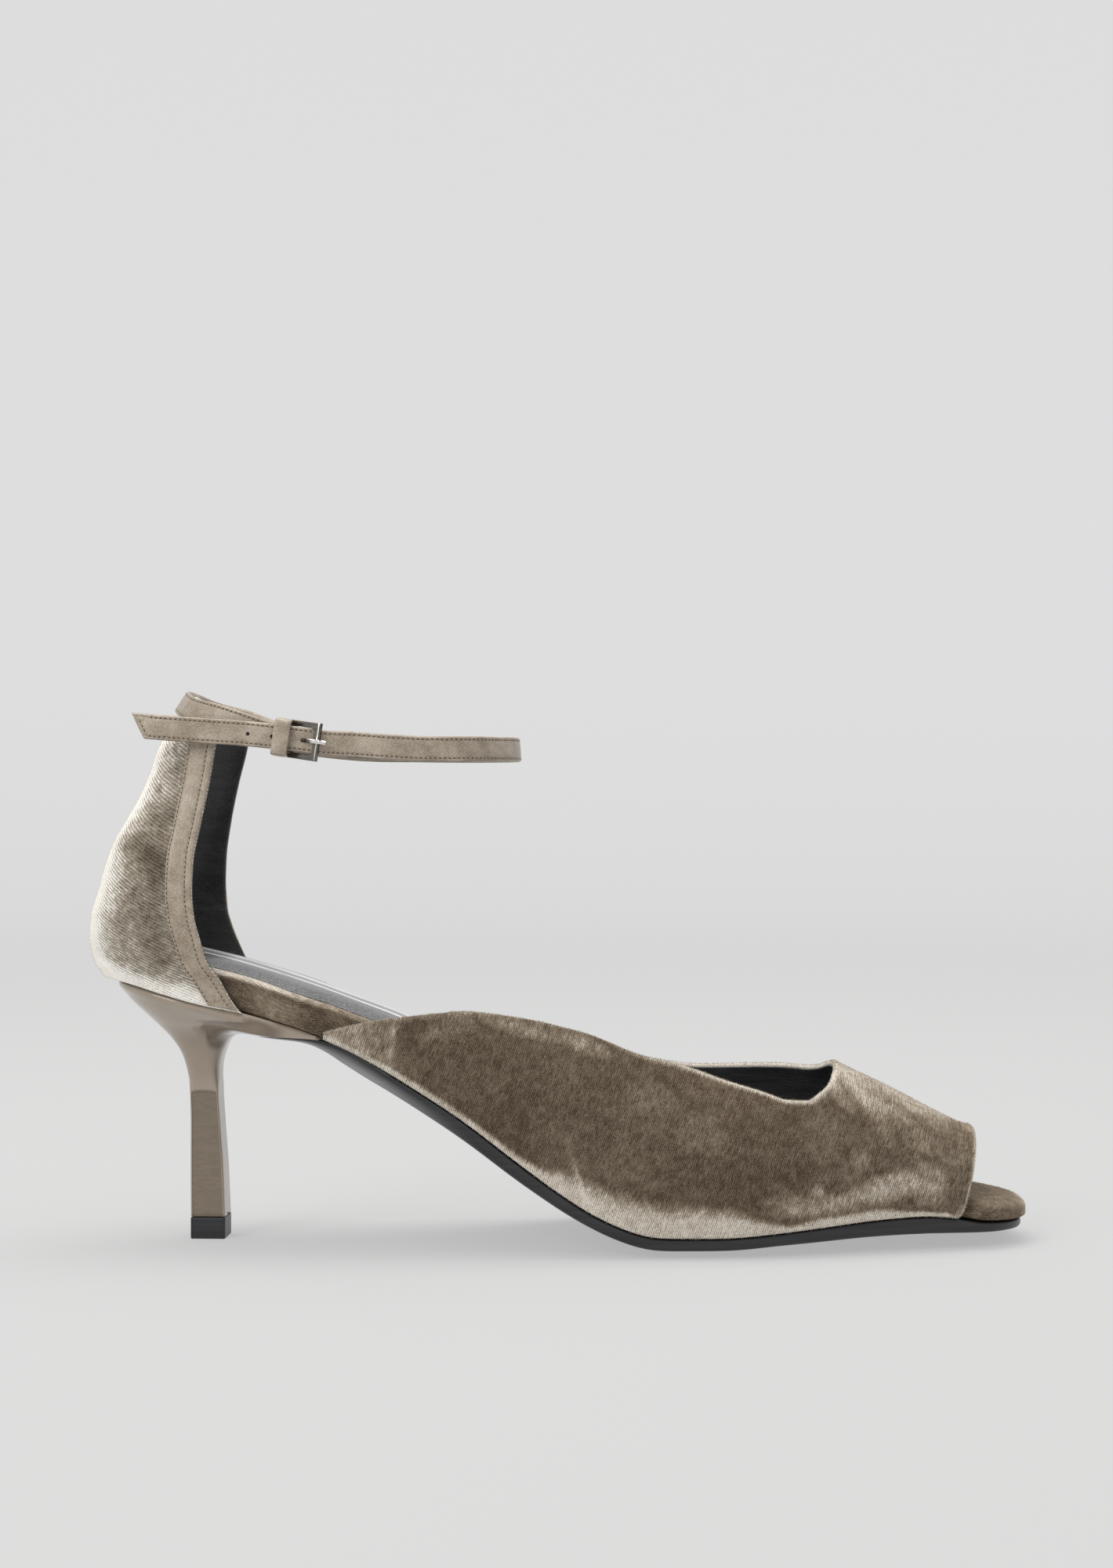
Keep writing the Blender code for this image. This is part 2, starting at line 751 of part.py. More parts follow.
def smooth_line(points, count):
    """Points at even spacing on a smooth curve through a list of points."""
    points = np.asarray(points, dtype=float)
    steps = np.linalg.norm(np.diff(points[:, :3], axis=0), axis=1)
    knots = np.concatenate(([0], np.cumsum(steps)))
    slopes = np.gradient(points, knots, axis=0)
    where = np.linspace(0, knots[-1], count)
    index = np.clip(np.searchsorted(knots, where) - 1, 0, len(knots) - 2)
    gap = (knots[index + 1] - knots[index])[:, None]
    step = ((where - knots[index])[:, None]) / gap
    rest = 1 - step
    start = points[index]
    end = points[index + 1]
    return (
        start * (1 + 2 * step) * rest ** 2
        + end * (3 - 2 * step) * step ** 2
        + gap * step * rest * (slopes[index] * rest - slopes[index + 1] * step)
    )


def strap_height(turn):
    """Height of the strap's middle on the counter: just inside the collar edge."""
    return collar_height(turn) - 0.35 * STRAP_WIDTH


def buckle_middle():
    """Middle of the buckle's rear bar on the outer side of the ankle."""
    x = 0.0251
    y = -STRAP_SPREAD - 0.0002
    z = HEEL_HEIGHT + 0.844 * COUNTER_HEIGHT
    return np.array((x, y, z))


def strap_route():
    """The band's route: rear bar, round the heel, along the inner side, the front and the buckle."""
    bar = buckle_middle()
    half = STRAP_THICKNESS / 2
    inner_side = STRAP_SPREAD - 0.0012
    start = [
        (bar[0] - 0.0026, -inner_side, bar[2] - 0.0001, 0, 0, 1),
        (bar[0] - 0.0090, -inner_side + 0.0003, bar[2] + 0.0020, 0, 0, 1),
    ]
    turn = np.concatenate((np.linspace(0.12, 0.9, 8), np.linspace(1.1, 1.88, 8)))
    height = strap_height(turn)
    middle = counter_point(turn, height, 1.7 * GAP + half)
    normal = counter_normal(turn, height)
    flat = np.stack((normal[:, 1], -normal[:, 0], 0 * turn), axis=1)
    up = np.cross(normal, flat)
    up *= np.sign(up[:, 2:3])
    up /= np.linalg.norm(up, axis=1, keepdims=True)
    cup = [(*point, *lean) for point, lean in zip(middle, up)]
    front = []
    for share, side, rise, lean in STRAP_FRONT:
        x = share * STRAP_LENGTH - 0.0095
        tall = math.sqrt(1 - lean * lean)
        z = bar[2] + rise * STRAP_WIDTH - 0.0006
        front.append((x, side * STRAP_SPREAD, z, -lean, 0, tall))
    over = -STRAP_SPREAD - 0.0002 - BUCKLE_BAR / 2 - GAP - half
    layer = -inner_side - half - GAP - half
    end = [
        (bar[0] + 0.0150, -STRAP_SPREAD - 0.0011, bar[2] - 0.0014, 0, 0, 1),
        (bar[0] + BUCKLE_LENGTH - BUCKLE_BAR, -STRAP_SPREAD - 0.0011, bar[2] - 0.0010, 0, 0, 1),
        (bar[0] + 0.0030, over - 0.0001, bar[2] - 0.0004, 0, 0, 1),
        (bar[0], over - 0.0001, bar[2], 0, 0, 1),
        (bar[0] - 0.0050, layer - 0.0008, bar[2] + 0.0006, 0, 0, 1),
        (bar[0] - 0.0140, layer - 0.0003, bar[2] + 0.0015, 0, 0, 1),
        (bar[0] - 0.0260, layer + 0.0002, bar[2] + 0.0023, 0, 0, 1),
        (bar[0] - 0.0340, layer + 0.0004, bar[2] + 0.0029, 0, 0, 1),
        (bar[0] - 0.0403, layer + 0.0012, bar[2] + 0.0034, 0, 0, 1),
    ]
    return start + cup + front + end


def band(name, route, count, width, thickness, slant, material, collection):
    """Sweep a flat band with eased edges along a route of points and upward directions."""
    line = smooth_line(route, count)
    middle = line[:, :3]
    ahead = np.gradient(middle, axis=0)
    ahead /= np.linalg.norm(ahead, axis=1, keepdims=True)
    up = line[:, 3:] - ahead * np.sum(line[:, 3:] * ahead, axis=1, keepdims=True)
    up /= np.linalg.norm(up, axis=1, keepdims=True)
    out = np.cross(ahead, up)
    half = width / 2
    thick = thickness / 2
    ease = thickness * 0.28
    outline = (
        (-half + ease, -thick), (half - ease, -thick), (half, -thick + ease), (half, thick - ease),
        (half - ease, thick), (-half + ease, thick), (-half, thick - ease), (-half, -thick + ease),
    )
    rings = []
    for i in range(count):
        shift = slant if i == count - 1 else 0.0
        ring = [
            middle[i] + up[i] * tall + out[i] * deep + ahead[i] * shift * tall / half
            for tall, deep in outline
        ]
        rings.append(ring)
    size = len(outline)
    faces = []
    for i in range(count - 1):
        for j in range(size):
            k = (j + 1) % size
            faces.append((i * size + j, i * size + k, (i + 1) * size + k, (i + 1) * size + j))
    faces.append(tuple(range(size - 1, -1, -1)))
    faces.append(tuple((count - 1) * size + j for j in range(size)))
    points = np.array(rings).reshape(-1, 3)
    return new_object(name, mesh_from(name, points, faces), material, collection)


def build_strap(material, collection, cutters):
    """The ankle strap: one stitched band, with a hole that the prong passes through."""
    strap = band(
        "ankle_strap", strap_route(), 120, STRAP_WIDTH, STRAP_THICKNESS, TIP_SLANT, material, collection
    )
    bar = buckle_middle()
    bpy.ops.mesh.primitive_cylinder_add(
        vertices=16,
        radius=HOLE_DIAMETER / 2,
        depth=0.004,
        location=(bar[0] + 0.0020, bar[1] - 0.0022, bar[2] - 0.0002),
        rotation=(math.pi / 2, 0, 0),
    )
    cutter = bpy.context.object
    cutter.name = "prong_hole"
    for home in list(cutter.users_collection):
        home.objects.unlink(cutter)
    cutters.objects.link(cutter)
    cutter.hide_render = True
    cutter.display_type = "WIRE"
    cut = strap.modifiers.new("Prong hole", "BOOLEAN")
    cut.operation = "DIFFERENCE"
    cut.solver = "EXACT"
    cut.object = cutter
    return strap


def wire(name, points, radius, cyclic, material, collection):
    """A round wire through a list of points."""
    curve = bpy.data.curves.new(name, "CURVE")
    curve.dimensions = "3D"
    curve.bevel_depth = radius
    curve.bevel_resolution = 2
    curve.use_fill_caps = not cyclic
    spline = curve.splines.new("POLY")
    spline.points.add(len(points) - 1)
    for target, point in zip(spline.points, points):
        target.co = (*point, 1)
    spline.use_cyclic_u = cyclic
    return new_object(name, curve, material, collection)


def build_buckle(material, collection):
    """The rectangular wire frame: its rear bar lies under the strap and its front bar over it."""
    bar = buckle_middle()
    length = BUCKLE_LENGTH - BUCKLE_BAR
    under = bar[1]
    over = -STRAP_SPREAD - 0.0011 - STRAP_THICKNESS / 2 - GAP - BUCKLE_BAR / 2
    half = STRAP_WIDTH / 2 + 2 * GAP + BUCKLE_BAR / 2
    corner = BUCKLE_BAR * 0.8
    slope = -math.tan(BUCKLE_TILT)
    points = []
    for across, tall, start in ((1, 1, 90), (1, -1, 0), (0, -1, -90), (0, 1, 180)):
        for step in range(4):
            angle = math.radians(start - step * 30)
            x = across * length + (corner if across == 0 else -corner) + corner * math.cos(angle)
            z = tall * (half - corner) + corner * math.sin(angle)
            y = under + (over - under) * x / length
            points.append((bar[0] + x, y, bar[2] + z + slope * x))
    return wire("buckle_frame", points, BUCKLE_BAR / 2, True, material, collection)


def build_prong(material, collection):
    """The prong: hooked round the rear bar, out through the strap's hole and onto the front bar."""
    bar = buckle_middle()
    reach = BUCKLE_BAR / 2 + GAP + PRONG_WIRE / 2
    points = []
    for step in range(7):
        angle = math.radians(170 - step * 25)
        points.append((bar[0] + reach * math.cos(angle), bar[1] + reach * math.sin(angle), bar[2]))
    over = -STRAP_SPREAD - 0.0011 - STRAP_THICKNESS / 2 - 2 * GAP - BUCKLE_BAR - PRONG_WIRE / 2
    length = BUCKLE_LENGTH - BUCKLE_BAR
    points.append((bar[0] + 0.0018, bar[1] - 0.0009, bar[2] - 0.0001))
    points.append((bar[0] + 0.0021, bar[1] - 0.0026, bar[2] - 0.0003))
    points.append((bar[0] + 0.0034, over + 0.0004, bar[2] - 0.0005))
    points.append((bar[0] + length, over, bar[2] - 0.0010))
    points.append((bar[0] + length + 0.0009, over + 0.0001, bar[2] - 0.0012))
    return wire("buckle_prong", points, PRONG_WIRE / 2, False, material, collection)


def build_keeper(material, collection):
    """The fixed loop behind the buckle that holds both layers of the strap."""
    bar = buckle_middle()
    middle_x = bar[0] - 0.0033
    inner = -STRAP_SPREAD + 0.0012 + STRAP_THICKNESS / 2 + GAP
    outer = -STRAP_SPREAD - 0.0001 - 1.5 * STRAP_THICKNESS - 5 * GAP
    middle_y = (inner + outer) / 2
    half_y = (inner - outer) / 2 + KEEPER_THICKNESS / 2
    half_z = STRAP_WIDTH / 2 + 2 * GAP + KEEPER_THICKNESS / 2
    curve = bpy.data.curves.new("keeper", "CURVE")
    curve.dimensions = "2D"
    curve.fill_mode = "BOTH"
    curve.extrude = KEEPER_LENGTH / 2
    for grow in (KEEPER_THICKNESS / 2, -KEEPER_THICKNESS / 2):
        corner = 0.0009 + grow
        spline = curve.splines.new("POLY")
        outline = []
        for wide, tall, start in ((1, 1, 0), (-1, 1, 90), (-1, -1, 180), (1, -1, 270)):
            for step in range(4):
                angle = math.radians(start + 30 * step)
                u = wide * (half_y + grow - corner) + corner * math.cos(angle)
                v = tall * (half_z + grow - corner) + corner * math.sin(angle)
                outline.append((u, v, 0, 1))
        spline.points.add(len(outline) - 1)
        for target, point in zip(spline.points, outline):
            target.co = point
        spline.use_cyclic_u = True
    keeper = new_object("keeper", curve, material, collection)
    keeper.location = (middle_x, middle_y, bar[2] + 0.0004)
    keeper.rotation_euler = (math.pi / 2 + BUCKLE_TILT, 0, math.pi / 2)
    return keeper


def build():
    """Make the sandal's pieces in their collection."""
    for thing in list(bpy.data.objects):
        bpy.data.objects.remove(thing)
    sandal = new_collection("heeled_sandal")
    cutters = new_collection("cutters")
    velvet = new_material("Taupe velvet", (0.17, 0.13, 0.10), 0.8)
    leather = new_material("Beige strap leather", (0.38, 0.31, 0.23), 0.5)
    insole = new_material("Grey insole leather", (0.16, 0.16, 0.17), 0.35)
    covering = new_material("Taupe heel covering", (0.33, 0.27, 0.20), 0.25, coat=0.6)
    rubber = new_material("Black sole", (0.03, 0.03, 0.035), 0.5)
    steel = new_material("Gunmetal", (0.32, 0.31, 0.30), 0.3, metallic=1.0)
    build_outsole(rubber, sandal)
    build_top_piece(rubber, sandal)
    build_heel(covering, sandal)
    build_footbed(velvet, sandal)
    build_sock(insole, sandal)
    build_vamp(velvet, sandal)
    build_counter(velvet, sandal)
    build_facing("facing_outer", -1, leather, sandal)
    build_facing("facing_inner", 1, leather, sandal)
    build_strap(leather, sandal, cutters)
    build_keeper(leather, sandal)
    build_buckle(steel, sandal)
    build_prong(steel, sandal)


build()
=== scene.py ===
import math

import bmesh
import bpy
import numpy as np
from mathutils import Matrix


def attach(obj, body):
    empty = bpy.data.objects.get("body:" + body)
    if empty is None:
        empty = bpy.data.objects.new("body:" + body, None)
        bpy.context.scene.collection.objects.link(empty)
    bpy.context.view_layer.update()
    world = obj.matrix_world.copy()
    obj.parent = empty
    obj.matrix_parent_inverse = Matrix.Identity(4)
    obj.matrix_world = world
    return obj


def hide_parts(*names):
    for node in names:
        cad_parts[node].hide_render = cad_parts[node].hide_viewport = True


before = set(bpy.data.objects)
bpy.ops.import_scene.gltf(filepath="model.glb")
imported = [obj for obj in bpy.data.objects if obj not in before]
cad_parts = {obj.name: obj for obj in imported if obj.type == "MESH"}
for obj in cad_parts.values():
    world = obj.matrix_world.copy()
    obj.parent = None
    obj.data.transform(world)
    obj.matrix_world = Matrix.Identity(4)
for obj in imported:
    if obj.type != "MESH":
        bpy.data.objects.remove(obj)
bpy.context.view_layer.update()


# Studio: a pale paper bowl that rises on all sides, so that every view has the same plain ground.
# One large soft light stands over the shoe, a second in front on the left, and the sky fills the rest.
# The camera is level with the ankle strap and looks straight across the shoe.
def skin(name, points, finishes, closed=True, rolled=False, uv=None, slots=None, marks=None):
    """A mesh over a grid of points: each four neighbours are one face, equal points one vertex.

    rolled joins the last column to the first. uv holds each point's place on the flat material,
    slots each face's finish, and marks named values at the points.
    """
    rows, columns = points.shape[:2]
    number = np.arange(rows * columns).reshape(rows, columns)
    if rolled:
        number = np.hstack((number, number[:, :1]))
    corners = np.stack((number[:-1, :-1], number[1:, :-1], number[1:, 1:], number[:-1, 1:]), axis=-1)
    faces = corners.reshape(-1, 4)
    mesh = bpy.data.meshes.new(name)
    mesh.vertices.add(rows * columns)
    mesh.vertices.foreach_set("co", points.astype(np.float32).ravel())
    mesh.loops.add(faces.size)
    mesh.loops.foreach_set("vertex_index", faces.ravel().astype(np.int32))
    mesh.polygons.add(len(faces))
    mesh.polygons.foreach_set("loop_start", np.arange(0, faces.size, 4, dtype=np.int32))
    if slots is not None:
        mesh.polygons.foreach_set("material_index", slots.ravel().astype(np.int32))
    mesh.update(calc_edges=True)
    if uv is not None:
        places = uv.reshape(-1, 2)[faces.ravel()]
        mesh.uv_layers.new(name="cloth").data.foreach_set("uv", places.astype(np.float32).ravel())
    for mark, values in (marks or {}).items():
        layer = mesh.attributes.new(mark, "FLOAT", "POINT")
        layer.data.foreach_set("value", values.astype(np.float32).ravel())
    work = bmesh.new()
    work.from_mesh(mesh)
    bmesh.ops.remove_doubles(work, verts=work.verts, dist=1e-7)
    bmesh.ops.dissolve_degenerate(work, edges=work.edges, dist=1e-7)
    if closed:
        bmesh.ops.recalc_face_normals(work, faces=work.faces)
    work.to_mesh(mesh)
    work.free()
    mesh.shade_smooth()
    piece = bpy.data.objects.new(name, mesh)
    bpy.context.scene.collection.objects.link(piece)
    for finish in finishes:
        mesh.materials.append(finish)
    return piece


class Wire:
    """One output in a material's node tree. Arithmetic on it adds Math nodes."""

    def __init__(self, tree, socket=None):
        self.tree = tree
        self.socket = socket

    def node(self, kind, settings=None, sockets=None, out=0):
        """Add a node: its settings first, then the value or the wire of each socket."""
        made = self.tree.nodes.new("ShaderNode" + kind)
        for name, value in (settings or {}).items():
            setattr(made, name, value)
        for name, value in (sockets or {}).items():
            if isinstance(value, Wire):
                self.tree.links.new(value.socket, made.inputs[name])
            else:
                made.inputs[name].default_value = value
        return Wire(self.tree, made.outputs[out] if made.outputs else None)

    def maths(self, operation, *values):
        return self.node("Math", {"operation": operation}, dict(enumerate(values)))

    def __add__(self, other):
        return self.maths("ADD", self, other)

    def __radd__(self, other):
        return self.maths("ADD", other, self)

    def __sub__(self, other):
        return self.maths("SUBTRACT", self, other)

    def __rsub__(self, other):
        return self.maths("SUBTRACT", other, self)

    def __mul__(self, other):
        return self.maths("MULTIPLY", self, other)

    def __rmul__(self, other):
        return self.maths("MULTIPLY", other, self)

    def clamp(self):
        return self.node("Clamp", {}, {"Value": self})

    def step(self, low, high):
        """Rise smoothly from 0 to 1 as this value goes from low to high."""
        spans = {"Value": self, "From Min": low, "From Max": high}
        return self.node("MapRange", {"interpolation_type": "SMOOTHSTEP"}, spans)

    def mix(self, first, second):
        """A colour between two, with this value as the second one's share."""
        return self.node("Mix", {"data_type": "RGBA"}, {0: self, 6: first, 7: second}, out=2)

    def noise(self, where, scale, detail=2.0, rough=0.5):
        sockets = {"Vector": where, "Scale": scale, "Detail": detail, "Roughness": rough}
        return self.node("TexNoise", {}, sockets)

    def stretched(self, where, scales):
        """A place with each axis scaled by its own amount, so that a pattern on it runs in streaks."""
        return self.node("Mapping", {}, {"Vector": where, "Scale": scales})

    def axis(self, where, number):
        """One coordinate of a place: 0 is X, 1 is Y and 2 is Z."""
        return self.node("SeparateXYZ", {}, {0: where}, out=number)

    def mark(self, name):
        """A value that the mesh carries at its points."""
        return self.node("Attribute", {"attribute_name": name}, out=2)

    def bump(self, depth):
        """This height, times a depth in metres, as a normal."""
        return self.node("Bump", {}, {"Height": self, "Distance": depth})


def new_finish(name):
    """An empty material, the wire that adds its nodes and the piece's own coordinates."""
    material = bpy.data.materials.new(name)
    material.use_nodes = True
    material.node_tree.nodes.clear()
    wire = Wire(material.node_tree)
    return material, wire, wire.node("TexCoord", out=3)


def lay_on(wire, sockets):
    """End a material in a Principled surface with these sockets."""
    shader = wire.node("BsdfPrincipled", {}, sockets)
    wire.node("OutputMaterial", {}, {"Surface": shader})


def colour(red, green, blue):
    """A colour as screens name it, 0 to 255, in the light's own scale."""
    shares = np.array((red, green, blue)) / 255
    light = np.where(shares <= 0.04045, shares / 12.92, ((shares + 0.055) / 1.055) ** 2.4)
    return (*light.tolist(), 1.0)


def soft_light(name, place, aim, width, height, power, tint):
    """A rectangular light at a place, turned to an aim."""
    lamp = bpy.data.lights.new(name, "AREA")
    lamp.shape = "RECTANGLE"
    lamp.size = width
    lamp.size_y = height
    lamp.energy = power
    lamp.color = tint
    holder = bpy.data.objects.new(name, lamp)
    ray = np.array(aim) - np.array(place)
    flat = math.hypot(ray[0], ray[1])
    holder.location = place
    holder.rotation_euler = (math.pi / 2 + math.atan2(ray[2], flat), 0, math.atan2(-ray[0], ray[1]))
    bpy.context.scene.collection.objects.link(holder)


CAMERA_PLACE = (0.0922, -0.756, 0.1202)
LENS = 65.232
SENSOR = 36
camera = bpy.data.objects.new("camera", bpy.data.cameras.new("camera"))
camera.data.sensor_width = SENSOR
camera.data.lens = LENS
camera.data.clip_start = 0.01
camera.location = CAMERA_PLACE
camera.rotation_euler = (math.pi / 2, 0, 0)
bpy.context.scene.collection.objects.link(camera)
bpy.context.scene.camera = camera
bpy.context.scene.view_settings.view_transform = "Standard"

paper, wire, here = new_finish("pale paper")
far = wire.node("VectorMath", {"operation": "LENGTH"}, {0: here}, out=1).step(0.3, 2.8)
glow = far.mix((0.415, 0.415, 0.415, 1.0), (0.55, 0.55, 0.55, 1.0))
lay_on(wire, {
    "Base Color": (0.20, 0.20, 0.20, 1.0),
    "Roughness": 0.9,
    "Specular IOR Level": 0.0,
    "Emission Color": glow,
    "Emission Strength": 1.0,
})
PAPER_FLAT = 1.5
PAPER_CURVE = 1.6
rise = np.linspace(0, math.pi / 2, 24)
flat = np.linspace(0, PAPER_FLAT, 12)
reach = np.concatenate((flat, PAPER_CURVE + PAPER_CURVE * np.sin(rise), (2 * PAPER_CURVE,)))
lift = np.concatenate((0 * flat, PAPER_CURVE - PAPER_CURVE * np.cos(rise), (2 * PAPER_CURVE,)))
about = np.linspace(0, 2 * math.pi, 96, endpoint=False)
bowl = np.stack(np.broadcast_arrays(
    reach[:, None] * np.cos(about), reach[:, None] * np.sin(about), lift[:, None]), axis=-1)
skin("studio_paper", bowl, [paper], closed=False, rolled=True)

sky = bpy.data.worlds.new("studio sky")
sky.use_nodes = True
sky.node_tree.nodes["Background"].inputs["Color"].default_value = (1.0, 1.0, 1.0, 1.0)
sky.node_tree.nodes["Background"].inputs["Strength"].default_value = 1.1
bpy.context.scene.world = sky
WARM_WHITE = (1.0, 0.985, 0.96)
PALE_WHITE = (1.0, 0.99, 0.97)
soft_light("over_light", (0.05, 0.25, 1.15), (0.09, 0, 0.05), 1.1, 0.7, 9.0, WARM_WHITE)
soft_light("front_light", (-0.75, -0.95, 0.75), (0.09, 0, 0.06), 0.6, 0.6, 7.0, PALE_WHITE)


# Last: the foot shape that the upper, footbed and sole are all made on, so its measures come here once.
# Each table gives a place along the shoe's length and shares of the ball width, heel height or crest.
MM = 0.001
LENGTH = 0.2478
BACK_REACH = 0.0315
BALL_WIDTH = 0.078
SEAT_WIDTH = 0.054
HEEL_HEIGHT = 0.0676
CREST_HEIGHT = 0.058
TOE_DEPTH = 0.069 * LENGTH
TOE_SQUARENESS = 2.5
GAP = 0.0003
STATIONS = 150
PLAN = (
    # place, outer half width, inner half width
    (0.107, 0.327, 0.327),
    (0.147, 0.340, 0.336),
    (0.207, 0.350, 0.328),
    (0.287, 0.359, 0.315),
    (0.368, 0.385, 0.326),
    (0.448, 0.429, 0.365),
    (0.529, 0.474, 0.423),
    (0.609, 0.500, 0.481),
    (0.669, 0.496, 0.500),
    (0.730, 0.471, 0.487),
    (0.790, 0.426, 0.449),
    (0.850, 0.368, 0.394),
    (0.911, 0.313, 0.333),
    (0.951, 0.282, 0.295),
    (1.000, 0.244, 0.250),
)
PROFILE = (
    # place, underside, share of the sole's thickness, wedge
    (0.000, 0.768, 0.12, 0.227),
    (0.040, 0.768, 0.12, 0.214),
    (0.087, 0.768, 0.12, 0.172),
    (0.134, 0.768, 0.12, 0.129),
    (0.165, 0.768, 0.13, 0.107),
    (0.183, 0.768, 0.15, 0.088),
    (0.208, 0.766, 0.20, 0.064),
    (0.227, 0.763, 0.25, 0.046),
    (0.240, 0.757, 0.36, 0.031),
    (0.253, 0.743, 0.60, 0.015),
    (0.273, 0.705, 1.00, 0.002),
    (0.289, 0.667, 1.20, 0.0),
    (0.321, 0.602, 1.25, 0.0),
    (0.353, 0.530, 1.25, 0.0),
    (0.385, 0.456, 1.28, 0.0),
    (0.418, 0.373, 1.28, 0.0),
    (0.450, 0.284, 1.28, 0.0),
    (0.482, 0.201, 1.25, 0.0),
    (0.515, 0.121, 1.19, 0.0),
    (0.547, 0.059, 1.12, 0.0),
    (0.579, 0.016, 1.06, 0.0),
    (0.599, 0.000, 1.03, 0.0),
    (0.668, 0.000, 1.0, 0.0),
    (0.725, 0.014, 1.0, 0.0),
    (0.773, 0.031, 1.0, 0.0),
    (0.821, 0.048, 1.0, 0.0),
    (0.874, 0.057, 1.0, 0.0),
    (0.905, 0.058, 0.85, 0.0),
    (0.925, 0.058, 0.52, 0.0),
    (0.940, 0.058, 0.36, 0.0),
    (1.000, 0.054, 0.10, 0.0),
)
CREST = (
    # place, height of the last's ridge
    (0.247, 0.690),
    (0.312, 0.793),
    (0.368, 0.888),
    (0.424, 0.948),
    (0.480, 0.983),
    (0.529, 1.000),
    (0.593, 0.966),
    (0.637, 0.897),
    (0.690, 0.828),
    (0.730, 0.793),
    (0.770, 0.734),
    (0.802, 0.645),
    (0.834, 0.572),
    (0.871, 0.489),
    (0.907, 0.413),
    (0.945, 0.374),
)


def place(share):
    """Turn a place along the shoe's length into X."""
    return share * LENGTH - BACK_REACH


def along(x):
    """Turn X into a place along the shoe's length."""
    return (np.asarray(x) + BACK_REACH) / LENGTH


def cubic(knots, values, slopes, where):
    """Read a curve that passes each knot at its value and slope, with a cubic between each two."""
    index = np.clip(np.searchsorted(knots, where) - 1, 0, len(knots) - 2)
    gap = knots[index + 1] - knots[index]
    part = (where - knots[index]) / gap
    if values.ndim > 1:
        gap, part = gap[:, None], part[:, None]
    rest = 1 - part
    return (
        values[index] * (1 + 2 * part) * rest ** 2
        + values[index + 1] * (3 - 2 * part) * part ** 2
        + gap * part * rest * (slopes[index] * rest - slopes[index + 1] * part)
    )


def follow(rows, column, where):
    """Read a column of a table on a cubic through its rows that never overshoots them."""
    knots = np.array([row[0] for row in rows], dtype=float)
    values = np.array([row[column] for row in rows], dtype=float)
    where = np.clip(np.asarray(where, dtype=float), knots[0], knots[-1])
    rises = np.diff(values) / np.diff(knots)
    product = rises[:-1] * rises[1:]
    total = np.where(product > 0, rises[:-1] + rises[1:], 1.0)
    slopes = np.concatenate(([rises[0]], np.where(product > 0, 2 * product / total, 0.0), [rises[-1]]))
    return cubic(knots, values, slopes, where)


def eased(rows, column, where, width=0.013):
    """The same curve averaged over a bell of a width, as leather rounds off what the last has."""
    steps = np.linspace(-2, 2, 9)
    weights = np.exp(-steps ** 2 / 2) / np.exp(-steps ** 2 / 2).sum()
    return sum(part * follow(rows, column, where + step * width) for step, part in zip(steps, weights))


def blend(start, end, where):
    """Rise smoothly from 0 at start to 1 at end."""
    share = np.clip((where - start) / (end - start), 0, 1)
    return share * share * (3 - 2 * share)


def spread(start, end, count):
    """Stations that gather at both ends, where an outline turns."""
    turn = np.linspace(0, math.pi, count)
    return start + (end - start) * (1 - np.cos(turn)) / 2


def quarter(share, power):
    """A quarter of a squarish ellipse: 1 at share 0, and down to 0 at share 1."""
    return (1 - share ** power) ** (1 / power)


def plan_width(x, side):
    """Half width of the last's plan, outside for side -1 and inside for side 1."""
    return eased(PLAN, 1 if side < 0 else 2, along(x)) * BALL_WIDTH


def toe_round(x, inset):
    """Share of the half width that the round toe leaves."""
    return quarter(np.clip((x + inset - place(1) + TOE_DEPTH) / TOE_DEPTH, 0, 1), TOE_SQUARENESS)


def plan_ring(stations, outer, inner, height):
    """A ring round the shoe: outer side from back to front, then the inner side back."""
    middle = stations[1:-1]
    x = np.concatenate((stations[:1], middle, stations[-1:], middle[::-1]))
    y = np.concatenate(([0.0], -outer(middle), [0.0], inner(middle)[::-1]))
    return np.stack((x, y, height(x, y)), axis=1)


def flattened(ring, height):
    """The same ring drawn together on the shoe's middle line, which closes a face over it."""
    x = ring[:, 0]
    return np.stack((x, 0 * x, height(x, 0 * x)), axis=1)


# Outsole: thin black leather with a waxed edge, cemented under the upper from the waist to the toe.
# It feathers out in a tongue under the heel's wedge; the underside and lower edge of its bevelled waist
# are painted grey, a painted reflection of the pale floor.
SOLE_THICKNESS = 0.0032
SOLE_ROCKER = 0.0018
SOLE_INSET = 0.0012
TONGUE_START = 0.178
TONGUE_LENGTH = 0.085 * LENGTH
TONGUE_SQUARENESS = 2.4
TONGUE_NARROWING = 0.28
TREAD_HALF = 0.45 * BALL_WIDTH / 2
TREAD_RIM = 0.44 * BALL_WIDTH
WAIST_BEVEL = 0.16
SOLE_SECTION = (
    # inset from the outline in mm, rise from the underside, 0, to the top, 1
    (28.0, 0),
    (20.0, 0),
    (12.0, 0),
    (6.0, 0),
    (2.2, 0),
    (1.0, 0.02),
    (0.4, 0.10),
    (0.1, 0.25),
    (0.0, 0.45),
    (0.0, 0.72),
    (0.1, 0.90),
    (0.4, 0.98),
    (1.2, 1.0),
)


def underside(x):
    """Height of the sole's underside on the shoe's middle line."""
    return eased(PROFILE, 1, along(x)) * HEEL_HEIGHT


def sole_top(x):
    """Height of the sole's upper face."""
    return underside(x) + SOLE_ROCKER + eased(PROFILE, 2, along(x), 0.008) * SOLE_THICKNESS


